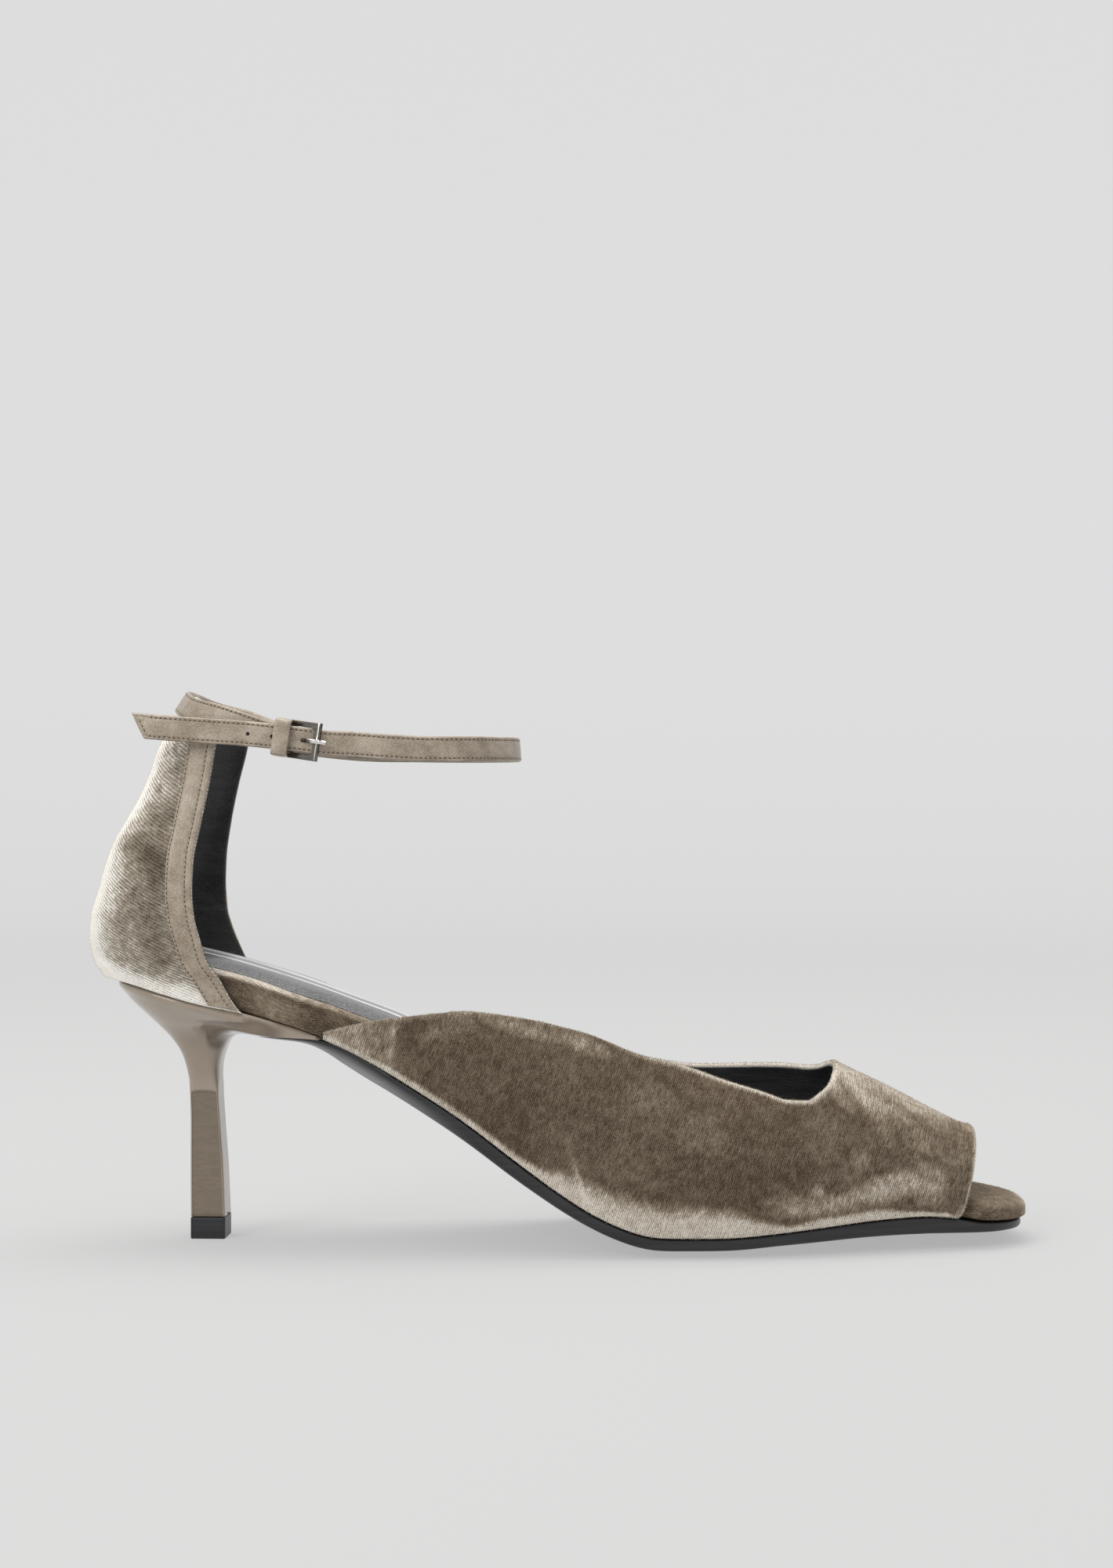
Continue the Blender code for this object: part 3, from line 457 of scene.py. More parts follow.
def sole_ring(inset, rise):
    """A ring of the sole at an inset from its outline, rise 0 on its underside and 1 on top."""
    start = place(TONGUE_START) + inset
    tongue_end = start + TONGUE_LENGTH
    x = spread(start, place(1) - SOLE_INSET - inset, STATIONS)

    def half(side):
        def width(px):
            rear = quarter(np.clip((tongue_end - px) / TONGUE_LENGTH, 0, 1), TONGUE_SQUARENESS)
            waist = 1 - TONGUE_NARROWING * (1 - blend(tongue_end - inset, place(0.33), px))
            full = plan_width(px, side) - SOLE_INSET
            return full * np.exp(-inset / full) * rear * waist * toe_round(px, SOLE_INSET + inset)
        return width

    def height(px, py):
        full = np.maximum(np.minimum(1, follow(PROFILE, 2, along(px))), blend(0.80, 0.90, along(px)))
        rim = np.clip(np.abs(py) - TREAD_HALF, 0, None) / (TREAD_RIM - TREAD_HALF)
        low = underside(px) + SOLE_ROCKER * (1 - full + full * np.minimum(1, rim ** 1.6))
        return low + (sole_top(px) - low) * rise

    return plan_ring(x, half(-1), half(1), height), height


rings = []
for inset, rise in SOLE_SECTION:
    ring, height = sole_ring(inset * MM, rise)
    if not rings:
        rings.append(flattened(ring, height))
    rings.append(ring)
rings.append(flattened(ring, height))
rings = np.array(rings)
levels = np.array([0] + [rise for _, rise in SOLE_SECTION] + [1])[:, None]
x = rings[:, :, 0]
waist = blend(place(0.46), place(0.28), x)
rings[:, :, 1] *= 1 - WAIST_BEVEL * waist * (1 - levels) ** 1.5
# Painted reflection: the waist's underside and lower edge are painted grey where they would mirror the
# pale floor.
shine = blend(place(0.42), place(0.27), x) * blend(0.62, 0.30, levels)

sole_black, wire, here = new_finish("black sole")
grain = wire.noise(here, 2600, 3)
streak = wire.noise(wire.stretched(here, (25, 60, 900)), 1.0, 4)
floor_reflection = wire.mark("shine")
black = streak.step(0.35, 0.75).mix(colour(20, 20, 23), colour(36, 37, 41))
lay_on(wire, {
    "Base Color": floor_reflection.mix(black, colour(140, 141, 143)),
    "Roughness": 0.34 + 0.14 * grain,
    "Coat Weight": 0.12,
    "Coat Roughness": 0.20,
    "Normal": (grain * 0.6 + streak * 0.4).bump(0.03 * MM),
})
outsole = skin("outsole_leather", rings, [sole_black], rolled=True, marks={"shine": shine})
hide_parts("outsole")
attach(outsole, "root")


# Heel: a moulded stiletto wrapped in glossy taupe leather, with a cup under the seat and a slim stem.
# The stem is nearly square; its two sides are flat facets, sunk a little and painted darker than the
# rest, a painted dark reflection, and the hollow under the wing is painted dark the same way; a thin
# line of painted shade edges each facet.
# It stands on a hard black rubber top piece, made to the stem's own outline.
TOP_PIECE_HEIGHT = 0.0056
HEEL_TURN = math.radians(-3)
FACET_TOP = 0.0390
FACET_DEPTH = 0.00022
HEEL = (
    # back height, back, front height or None for the sole's, front, half width, squareness
    (1.000, -0.440, None, 0.612, 0.452, 0.0),
    (0.972, -0.415, None, 0.590, 0.432, 0.0),
    (0.930, -0.368, None, 0.430, 0.375, 0.1),
    (0.880, -0.305, None, 0.290, 0.315, 0.2),
    (0.826, -0.242, None, 0.190, 0.245, 0.3),
    (0.764, -0.177, 0.765, 0.117, 0.182, 0.4),
    (0.698, -0.129, 0.706, 0.077, 0.145, 0.5),
    (0.620, -0.102, 0.628, 0.058, 0.120, 0.6),
    (0.530, -0.086, 0.530, 0.056, 0.098, 0.9),
    (0.385, -0.082, 0.385, 0.066, 0.092, 1.0),
    (0.210, -0.082, 0.210, 0.080, 0.095, 1.0),
    (0.000, -0.080, 0.000, 0.090, 0.100, 1.0),
)


def seat(x):
    """Height of the footbed's underside: the sole's upper face, raised by the heel's wedge."""
    return sole_top(x) + eased(PROFILE, 3, along(x), 0.006) * HEEL_HEIGHT + GAP


def squared(wave, power):
    """A sine or cosine drawn toward a square one: power 2 leaves it round, more makes it squarer."""
    return np.sign(wave) * np.abs(wave) ** (2 / power)


floor = TOP_PIECE_HEIGHT + GAP
knots = []
for number, (back_height, back, front_height, front, half, square) in enumerate(HEEL):
    low_back = floor + (HEEL_HEIGHT - floor) * back_height
    if front_height is None:
        low_front = float(sole_top(front * SEAT_WIDTH)) + GAP
    else:
        low_front = floor + (HEEL_HEIGHT - floor) * front_height
    widths = back * SEAT_WIDTH, low_front, front * SEAT_WIDTH, half * SEAT_WIDTH
    knots.append((number, low_back, *widths, square))
level = np.linspace(0, len(HEEL) - 1, 130)[:, None]
values = [follow(knots, column, level) for column in range(1, 7)]
low_back, back, low_front, front, half, square = values
about = np.linspace(0, 2 * math.pi, 120, endpoint=False)[None, :]
power = 2.5 + 3.0 * square + 9.0 * blend(0.7, 1.0, square)
x = (back + front) / 2 + (front - back) / 2 * squared(-np.cos(about), power)
y = half * squared(-np.sin(about), power)
corner = 0.55 * blend(front, front - 0.05 * SEAT_WIDTH, x)
corner = corner + 0.45 * (corner > 0)
wide = np.where(y < 0, plan_width(x, -1), plan_width(x, 1)) - SOLE_INSET - GAP
wing = blend(0, 0.28 * SEAT_WIDTH, x) * blend(0.19 * SEAT_WIDTH, 0.43 * SEAT_WIDTH, front)
y = y * (1 - wing) + np.sign(y) * wide * corner * wing
z = low_back + (low_front - low_back) * (x - back) / (front - back)
z[0] = np.maximum(seat(x[0]) - 0.5 * GAP, z[0])
turn = HEEL_TURN * square
across = np.abs(x - (back + front) / 2) / ((front - back) / 2)
on_side = np.abs(y) > 3 * MM
brow = FACET_TOP - 1.2 * MM * across ** 6
facet_and_reflection = blend(brow + 0.3 * MM, brow - 0.3 * MM, z) * blend(0.90, 0.82, across) * on_side
y = y - np.sign(y) * facet_and_reflection * FACET_DEPTH
# Painted reflection: the hollow front under the wing is painted dark, read only by the colour.
under_wing_reflection = blend(0.0, 2.5 * MM, x) * blend(24 * MM, 12 * MM, x)
under_wing_reflection = under_wing_reflection * blend(59.2 * MM, 57.8 * MM, z) * on_side
facet_and_reflection = np.maximum(facet_and_reflection, 1.2 * under_wing_reflection * blend(49.5 * MM, 54 * MM, z))
stack = np.stack((x * np.cos(turn) - y * np.sin(turn), x * np.sin(turn) + y * np.cos(turn), z), axis=-1)
foot_cap = stack[-1] * (1, 0, 1)
seat_cap = stack[0] * (1, 0, 1)
stack = np.concatenate((seat_cap[None], stack, foot_cap[None]))

heel_taupe, wire, here = new_finish("glossy taupe heel covering")
cloud = wire.noise(here, 60, 3)
grain = wire.noise(here, 3000, 2)
# This mark is painted reflection: the flat sides and the hollow under the wing are painted darker, with
# a line of painted shade at their edge.
painted_reflection = wire.mark("facet_and_reflection")
plain = cloud.step(0.3, 0.7).mix(colour(145, 131, 115), colour(157, 144, 128))
smear = wire.noise(wire.stretched(here, (500, 500, 1900)), 1.0, 3, 0.6)
reflection_tone = smear.step(0.30, 0.72).mix(colour(107, 93, 76), colour(117, 103, 86))
facet_edge_shade = (painted_reflection * (1 - painted_reflection) * 3).clamp()
lay_on(wire, {
    "Base Color": facet_edge_shade.mix(painted_reflection.clamp().mix(plain, reflection_tone), colour(88, 73, 57)),
    "Roughness": 0.30 + 0.10 * grain,
    "Coat Weight": 0.8,
    "Coat Roughness": 0.08,
    "Normal": grain.bump(0.006 * MM),
})
facet_and_reflection = np.concatenate((0 * facet_and_reflection[:1], facet_and_reflection, 0 * facet_and_reflection[:1]))
heel = skin("heel_covering", stack, [heel_taupe], rolled=True, marks={"facet_and_reflection": facet_and_reflection})
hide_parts("heel")
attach(heel, "root")

TOP_PIECE = (
    # share of the stem's foot, height over the floor in mm
    (0.0, 0.0),
    (0.90, 0.0),
    (0.985, 0.0),
    (1.005, 0.15),
    (1.01, 0.5),
    (1.01, 5.2),
    (1.005, 5.5),
    (0.99, 5.6),
    (0.9, 5.6),
    (0.0, 5.6),
)
tread = stack[-2]
rings = [tread * (share, share, 0) + (0, 0, lift * MM) for share, lift in TOP_PIECE]
top_piece = skin("top_piece_rubber", np.array(rings), [sole_black], rolled=True, marks={
    "shine": np.zeros((len(rings), len(tread)))})
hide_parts("top_piece")
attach(top_piece, "root")


# Footbed: a stiff board with a thin pad, wrapped in the upper's velvet and shown at waist and toe tip.
# Its rim is painted pale where it rounds over, a painted highlight, and its sides show the pile's rows
# along the slope.
FOOTBED_EDGE = 0.0022
CUP_SQUARENESS = 2.2
WALL = 0.0018
COUNTER_HEIGHT = 0.076
VAMP_FULLNESS = 2.3
FOOTBED = (
    # X, height of the footbed's top over the floor, both in mm
    (-31.5, 79.9),
    (-21.5, 78.8),
    (-11.5, 76.3),
    (-1.5, 73.7),
    (5.0, 72.2),
    (10.0, 70.9),
    (20.0, 67.8),
    (30.0, 64.4),
    (40.0, 60.7),
    (50.0, 57.0),
    (58.5, 52.8),
    (68.5, 46.2),
    (78.5, 38.3),
    (88.5, 30.1),
    (98.5, 22.1),
    (108.5, 15.9),
    (118.5, 12.5),
    (128.5, 11.7),
    (138.5, 11.4),
    (148.5, 11.9),
    (158.5, 12.7),
    (168.5, 13.6),
    (178.5, 14.2),
    (188.5, 14.3),
    (198.5, 13.0),
    (208.5, 11.9),
    (216.5, 11.4),
)
COUNTER = (
    # height, back, half width, depth of its round back
    (-0.100, -0.635, 0.965, 0.741),
    (-0.054, -0.683, 0.955, 0.759),
    (-0.008, -0.806, 0.950, 0.889),
    (0.033, -0.895, 0.965, 0.963),
    (0.075, -0.959, 0.985, 1.000),
    (0.157, -1.000, 1.000, 1.019),
    (0.239, -0.987, 1.000, 1.000),
    (0.321, -0.927, 0.985, 0.981),
    (0.404, -0.873, 0.963, 0.963),
    (0.487, -0.800, 0.933, 0.919),
    (0.568, -0.689, 0.900, 0.852),
    (0.650, -0.578, 0.874, 0.793),
    (0.729, -0.495, 0.856, 0.748),
    (0.816, -0.422, 0.844, 0.719),
    (0.900, -0.286, 0.833, 0.689),
    (1.000, -0.130, 0.822, 0.667),
)


def counter_size(height, column):
    """The heel cup's back, half width or depth at a height."""
    share = (np.asarray(height) - HEEL_HEIGHT) / COUNTER_HEIGHT
    return follow(COUNTER, column, share) * (BACK_REACH, SEAT_WIDTH / 2, SEAT_WIDTH / 2)[column - 1]


def heel_width(x, height, inset=0.0):
    """Half width of the heel cup, a slightly squared ellipse behind and straight in front."""
    depth = counter_size(height, 3) - inset
    back = counter_size(height, 1) + inset
    share = np.clip((back + depth - x) / depth, 0, 1)
    return (counter_size(height, 2) - inset) * quarter(share, CUP_SQUARENESS)


def footbed_height(x, level):
    """Height of a level of the footbed: level 0 is its underside and 1 its top."""
    low = seat(x) + GAP
    return low + level * (eased(FOOTBED, 1, x / MM, 3.0) * MM - low)


def footbed_half(side, level, inset):
    """Half width of the footbed, inside the heel cup at the back and the vamp in front."""
    def width(x):
        height = footbed_height(x, level)
        cup = heel_width(x, height, WALL + 2 * GAP + inset)
        wrapped = blend(place(0.243), place(0.261), x) * (1 - blend(place(0.925), place(0.948), x))
        rise = (height - seat(x)) / (eased(CREST, 1, along(x)) * CREST_HEIGHT)
        lean = 1 - wrapped * (1 - (1 - rise ** 2) ** (1 / VAMP_FULLNESS))
        front = plan_width(x, side) * lean - wrapped * (WALL + 2 * GAP) - inset
        share = blend(place(0.178), place(0.225), x)
        return (cup * (1 - share) + front * share) * toe_round(x, inset)
    return width


def footbed_ring(level, inset):
    """A ring of the footbed, at a level and an inset from its outline."""
    start = -BACK_REACH * 0.85
    for _ in range(8):
        start = float(counter_size(footbed_height(start, level), 1)) + WALL + 2 * GAP + inset
    x = spread(start, place(1) - inset, STATIONS + 20)
    half = footbed_half(-1, level, inset), footbed_half(1, level, inset)
    return plan_ring(x, *half, lambda px, py: footbed_height(px, level))


def velvet(name, tones, pitch, slant, ridge, loose):
    """Silk velvet: pile in rows at a slant and a pitch in mm, brushed pale or dark.

    The nap mark is the pale share of three tones; it holds the pile's own brushed tone and also painted
    sheen and painted highlights. Rows are a sine across the cloth's own map, broken into short beads
    and long streaks by noise on the rows' own coordinates. ridge is how much the rows show, and loose
    how ragged the cloth is where pale meets dark.
    """
    material, wire, here = new_finish(name)
    flat = wire.node("UVMap", {"uv_map": "cloth"})
    place_u = wire.axis(flat, 0)
    place_v = wire.axis(flat, 1)
    nap_and_sheen = wire.mark("nap_and_sheen")
    stray = wire.noise(here, 210, 3) * 2.2
    turn = (place_u * math.cos(slant) + place_v * math.sin(slant)) * (2 * math.pi / pitch) + stray
    down_row = place_v * math.cos(slant) - place_u * math.sin(slant)
    rows = turn.maths("SINE", turn) * 0.5 + 0.5
    short = wire.node("CombineXYZ", {}, {0: turn * 0.32, 1: down_row * 2.4})
    long = wire.node("CombineXYZ", {}, {0: turn * 0.17, 1: down_row * 0.42})
    loose_spots = wire.node("CombineXYZ", {}, {0: turn * 0.30, 1: down_row * 0.8, 2: stray})
    bead = wire.noise(short, 1.0, 1) - 0.5
    streak = wire.noise(long, 1.0, 3, 0.65) - 0.5
    fleck = wire.noise(loose_spots, 1.0, 0).step(0.76, 0.84)
    grit = wire.noise(here, 2900, 1) - 0.5
    smudge = wire.noise(here, 330, 4, 0.62) - 0.5
    cloud = wire.noise(here, 70, 3, 0.55) - 0.5
    edge = (nap_and_sheen * (1 - nap_and_sheen) * 4).clamp()
    brushed = 1 - 0.55 * nap_and_sheen.step(0.80, 1.15)
    light = nap_and_sheen + cloud * (0.16 + 0.25 * edge) + smudge * (0.24 + 0.5 * edge)
    light = light + streak * (0.05 + loose * edge)
    light = light + (rows - 0.5) * ridge * (0.30 + nap_and_sheen.clamp()) * brushed
    light = light + bead * (0.20 + 0.60 * nap_and_sheen.clamp()) + grit * 0.40 + fleck * 0.16
    low = (light * 2).clamp().mix(tones[0], tones[1])
    lay_on(wire, {
        "Base Color": (light * 2 - 1).clamp().mix(low, tones[2]),
        "Roughness": 0.9 - 0.2 * light.clamp(),
        "Specular IOR Level": 0.15,
        "Sheen Weight": 0.22,
        "Sheen Roughness": 0.30,
        "Sheen Tint": colour(226, 198, 164),
        "Normal": (rows * ridge * brushed + bead * 1.4 + smudge * 1.4 + grit * 0.9).bump(0.16 * MM),
    })
    return material


def unit(vectors):
    """The same directions, each with length 1."""
    return vectors / np.maximum(np.linalg.norm(vectors, axis=-1, keepdims=True), 1e-12)


def read_out(items, name, kind=np.float32):
    """Three numbers for each item of a mesh, as rows of an array."""
    values = np.empty(len(items) * 3, dtype=kind)
    items.foreach_get(name, values)
    return values.reshape(-1, 3)


FIBRE_HALF = 0.04 * MM
FIBRE_ROOT = 0.05 * MM


def pile(name, piece, count, long, lean, finish, seed, mark="fuzz"):
    """Loose fibres on a cloth: narrow triangles rooted at random spots, most where a mark is high.

    Each fibre stands on the cloth's slope, tipped by a lean and a little by chance.
    """
    mesh = piece.data
    mesh.calc_loop_triangles()
    corners = read_out(mesh.loop_triangles, "vertices", np.int32)
    points = read_out(mesh.vertices, "co").astype(float)
    slopes = read_out(mesh.vertices, "normal").astype(float)
    fuzz = np.empty(len(mesh.vertices), dtype=np.float32)
    mesh.attributes[mark].data.foreach_get("value", fuzz)
    a, b, c = (points[corners[:, k]] for k in range(3))
    weight = np.linalg.norm(np.cross(b - a, c - a), axis=1) * fuzz[corners].mean(axis=1)
    draw = np.random.default_rng(seed)
    chosen = draw.choice(len(corners), size=count, p=weight / weight.sum())
    share = draw.dirichlet((1, 1, 1), size=count)
    root = np.einsum("nk,nkx->nx", share, points[corners[chosen]])
    slope = unit(np.einsum("nk,nkx->nx", share, slopes[corners[chosen]]))
    tip = unit(slope + np.array(lean) + draw.normal(0, 0.35, (count, 3)))
    side = unit(np.cross(tip, draw.normal(0, 1, (count, 3))))
    side *= np.sign(np.sum(np.cross(side, tip) * slope, axis=1, keepdims=True))
    reach = long * draw.uniform(0.5, 1.2, (count, 1))
    root -= slope * FIBRE_ROOT
    ends = np.stack((root - side * FIBRE_HALF, root + side * FIBRE_HALF, root + tip * reach), axis=1)
    cloth = bpy.data.meshes.new(name)
    cloth.from_pydata(ends.reshape(-1, 3), [], np.arange(count * 3).reshape(-1, 3))
    cloth.materials.append(finish)
    fibres = bpy.data.objects.new(name, cloth)
    bpy.context.scene.collection.objects.link(fibres)
    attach(fibres, "root")


def fibre_finish(name, tone):
    """One plain colour for a piece of loose fibres."""
    material, wire, _ = new_finish(name)
    lay_on(wire, {"Base Color": tone, "Roughness": 0.8, "Specular IOR Level": 0.2})
    return material


def run_over(points, axis):
    """How far each point of a grid lies from its first row, or column for axis 1, over the surface."""
    first = points[:1] if axis == 0 else points[:, :1]
    return np.linalg.norm(np.diff(points, axis=axis, prepend=first), axis=2).cumsum(axis=axis)


TAUPE_TONES = (colour(70, 57, 44), colour(142, 129, 112), colour(216, 209, 197))
footbed_velvet = velvet("footbed velvet", TAUPE_TONES, 0.62, math.pi / 2, 0.26, 0.9)
RIM_START = 0.72
RIM_END = 4.0
# Each step round the board is a level, from 0 below to 1 on top, and an inset in widths of the edge
steps = [(0.0, 0.45), (0.05, 0.16), (0.12, 0.0), (0.26, -0.03), (0.42, -0.04), (0.58, -0.02)]
for turn in np.linspace(0, math.pi / 2, 9):
    steps.append((RIM_START + (1 - RIM_START) * math.sin(turn), 1 - math.cos(turn)))
steps += [(1.0, 1.5), (1.0, 2.1), (1.0, 2.9), (1.0, RIM_END)]
rings = [footbed_ring(level, inset * FOOTBED_EDGE) for level, inset in steps]
first = flattened(rings[0], lambda px, py: footbed_height(px, 0.0))
last = flattened(rings[-1], lambda px, py: footbed_height(px, 1.0))
rings = np.array([first, *rings, last])
levels = np.array([0.0] + [level for level, _ in steps] + [1.0])[:, None]
deep = np.clip(np.array([0.0] + [inset for _, inset in steps] + [RIM_END])[:, None] / RIM_END, 0, 1)
x = rings[:, :, 0]
dome = (0.35 - 1.35 * (1 - deep) ** 2) * MM
rings[:, :, 2] += dome * blend(place(0.90), place(0.97), x) * blend(0.3, 0.8, levels)
# Painted highlight: the rim is painted pale where it rounds over toward the light.
rim_highlight = blend(0.80, 0.96, levels) * (0.80 - 0.42 * blend(12 * MM, 42 * MM, x))
brushed = 0.30 * np.exp(-((x / MM - 19) / 9) ** 2) + 0.20 * np.exp(-((x / MM - 38) / 5) ** 2)
nap_and_sheen = 0.03 + rim_highlight + brushed * blend(0.95, 0.6, levels) + 0.10 * blend(0.12, 0.0, levels)
toe = blend(place(0.90), place(0.94), x)
toe_nap = 0.20 + 0.40 * blend(place(0.985), place(1.0), x) + 0.06 * blend(0.6, 0.95, levels)
nap_and_sheen = nap_and_sheen * (1 - toe) + toe * toe_nap
uv = np.stack((x, run_over(rings, 0)), axis=-1) / MM
fuzz = 0.15 + 1.0 * toe + blend(0.6, 0.9, levels) * blend(1.0, 0.99, levels)
marks = {"nap_and_sheen": nap_and_sheen, "fuzz": fuzz}
footbed = skin("footbed_cover", rings, [footbed_velvet], rolled=True, uv=uv, marks=marks)
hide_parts("footbed")
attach(footbed, "root")
soft_taupe = fibre_finish("taupe fibre", colour(142, 128, 111))
pile("footbed_pile", footbed, 9000, 0.40 * MM, (0.1, 0, 0.3), soft_taupe, 3)


# Sock: the smooth grey insole leather cemented on the footbed, from the heel to under the vamp's front.
# It is slightly crowned, finely grained and polished; the long pale lights down the arch are painted
# highlights, and its near side is painted darker than its far side, a painted shade and reflection.
SOCK_END = place(0.905)
SOCK_ROUND = 0.35 * BALL_WIDTH
SOCK_SQUARENESS = 2.2
SOCK_RIM = 4.8
SOCK_SECTION = (
    # inset from the footbed's outline past the sock's rim, height over the footbed, both in mm
    (2.0, -0.1),
    (-0.5, -0.1),
    (-0.5, 0.12),
    (-0.42, 0.26),
    (-0.2, 0.36),
    (0.4, 0.52),
    (1.2, 0.80),
    (2.4, 1.20),
    (3.6, 1.52),
    (5.0, 1.80),
    (6.5, 1.98),
    (8.5, 2.08),
    (11.0, 2.12),
    (15.0, 2.13),
)


def sock_ring(inset, lift):
    """A ring of the sock: the footbed's outline with a round front end, raised by a lift."""
    start = footbed_ring(1.0, inset)[:, 0].min()
    x = spread(start, SOCK_END - inset, STATIONS)

    def half(side):
        def width(px):
            share = np.clip((px - SOCK_END + inset + SOCK_ROUND) / SOCK_ROUND, 0, 1)
            return footbed_half(side, 1.0, inset)(px) * quarter(share, SOCK_SQUARENESS)
        return width

    return plan_ring(x, half(-1), half(1), lambda px, py: footbed_height(px, 1.0) + lift)


rings = [sock_ring((SOCK_RIM + inward) * MM, raised * MM) for inward, raised in SOCK_SECTION]
first = flattened(rings[0], lambda px, py: footbed_height(px, 1.0) + SOCK_SECTION[0][1] * MM)
last = flattened(rings[-1], lambda px, py: footbed_height(px, 1.0) + SOCK_SECTION[-1][1] * MM)
sock_grey, wire, here = new_finish("grey insole leather")
grain = wire.noise(here, 2200, 3)
crease = wire.noise(wire.stretched(here, (45, 520, 45)), 1.0, 4, 0.6)
side_on = wire.axis(here, 1) + (crease - 0.5) * 0.006
# Painted highlights: two long pale streaks down the arch, painted by the distance across the sock.
painted_streaks = side_on.step(-0.0065, -0.0045) * (1 - side_on.step(-0.0035, -0.0015))
painted_streaks = painted_streaks + side_on.step(0.003, 0.006) * (1 - side_on.step(0.008, 0.012)) * 0.8
painted_streaks = painted_streaks * (0.55 + 0.60 * crease.step(0.34, 0.62))
# Painted shade and reflection: the near side is painted dark and the far side paler grey.
painted_near_far_shade = side_on.step(-0.012, 0.004).mix(colour(50, 50, 52), colour(112, 112, 114))
grain_on_painted_shade = (grain.step(0.42, 0.62) * 0.24).mix(painted_near_far_shade, colour(186, 186, 188))
lay_on(wire, {
    "Base Color": painted_streaks.clamp().mix(grain_on_painted_shade, colour(226, 226, 228)),
    "Roughness": 0.30 + 0.18 * crease,
    "Coat Weight": 0.3,
    "Coat Roughness": 0.22,
    "Normal": (grain * 0.35 + crease * 0.9).bump(0.05 * MM),
})
sock = skin("sock_leather", np.array([first, *rings, last]), [sock_grey], rolled=True)
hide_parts("sock")
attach(sock, "root")


# Vamp: one wide band of velvet lasted over the forefoot, with turned edges and a black leather lining.
# It rises from a wing on each side of the waist, crosses behind the toes, and is open at the toe tip.
VAMP = (
    # top place, top turn, lower place, lower turn
    (0.258, 0.026, 0.257, 0.0),
    (0.311, 0.155, 0.300, 0.0),
    (0.352, 0.241, 0.344, 0.0),
    (0.408, 0.351, 0.400, 0.0),
    (0.448, 0.427, 0.444, 0.0),
    (0.497, 0.508, 0.493, 0.0),
    (0.545, 0.563, 0.545, 0.0),
    (0.593, 0.580, 0.597, 0.0),
    (0.635, 0.595, 0.645, 0.0),
    (0.676, 0.575, 0.694, 0.0),
    (0.708, 0.545, 0.742, 0.0),
    (0.738, 0.508, 0.794, 0.0),
    (0.759, 0.517, 0.854, 0.0),
    (0.774, 0.580, 0.916, 0.0),
    (0.785, 0.662, 0.931, 0.22),
    (0.791, 0.770, 0.940, 0.52),
    (0.795, 0.890, 0.944, 0.78),
    (0.797, 1.000, 0.945, 1.0),
    (0.797, 1.080, 0.945, 1.2),
    (0.795, 1.160, 0.941, 1.48),
    (0.789, 1.260, 0.933, 1.8),
    (0.776, 1.335, 0.925, 2.0),
    (0.738, 1.390, 0.850, 2.0),
    (0.690, 1.425, 0.770, 2.0),
    (0.637, 1.479, 0.690, 2.0),
    (0.593, 1.501, 0.617, 2.0),
    (0.545, 1.524, 0.553, 2.0),
    (0.489, 1.576, 0.489, 2.0),
    (0.428, 1.669, 0.424, 2.0),
    (0.368, 1.785, 0.360, 2.0),
    (0.324, 1.972, 0.316, 2.0),
)


def vamp_point(x, turn):
    """A point on the last over the forefoot: turn 0 is outside, 1 the ridge and 2 inside."""
    angle = np.asarray(turn) * math.pi / 2
    side = np.where(np.cos(angle) >= 0, -1.0, 1.0)
    half = np.where(side < 0, plan_width(x, -1), plan_width(x, 1)) * toe_round(x, 0)
    crest = eased(CREST, 1, along(x)) * CREST_HEIGHT
    y = side * half * np.abs(np.cos(angle)) ** (2 / VAMP_FULLNESS)
    return np.stack((x, y, seat(x) + GAP + crest * np.sin(angle)), axis=-1)


def outward(grid, centre):
    """Unit normals of a grid of points, which point away from a centre."""
    normal = unit(np.cross(np.gradient(grid, axis=0), np.gradient(grid, axis=1)))
    return normal * np.sign(np.sum(normal * (grid - centre), axis=-1, keepdims=True))


def rim_distances(grid):
    """How far each point lies from the grid's first and last row, and from its nearest end column."""
    down = run_over(grid, 0)
    level = run_over(grid, 1)
    return down, down[-1:] - down, np.minimum(level, level[:, -1:] - level)


def walled(grid, normal, outer, inner):
    """A wall between two depths under a surface, rounded where it ends.

    Half its thickness follows a quarter circle of the distance to the nearest rim, so the outer
    and inner faces meet in one line there. Returns the outer face, then the inner one reversed.
    """
    half = (inner - outer) / 2
    near = np.min(rim_distances(grid), axis=0)
    part = np.clip(1 - near / half, 0, 1)
    swell = (half * np.sqrt(1 - part ** 2))[..., None]
    middle = grid - normal * (outer + half)
    return np.concatenate((middle + normal * swell, (middle - normal * swell)[::-1]))


def doubled(values):
    """Values for a walled grid: the outer face's, then the same for the inner face."""
    return np.concatenate((values, values[::-1]))


def rows_between(size, rim, count):
    """Shares down a column of a given size: close together for a rim at each end, even between."""
    near = np.array((0.0, 0.04, 0.12, 0.25, 0.45, 0.7, 1.0))[:, None] * rim / size
    even = near[-1] + (1 - 2 * near[-1]) * np.linspace(0, 1, count)[1:-1, None]
    return np.concatenate((near, even, 1 - near[::-1]))


def vamp_grid(share):
    """The vamp from its top edge, share 0, to its lower edge, share 1."""
    across = top_place + (low_place - top_place) * share
    return vamp_point(place(across), top_turn + (low_turn - top_turn) * share)


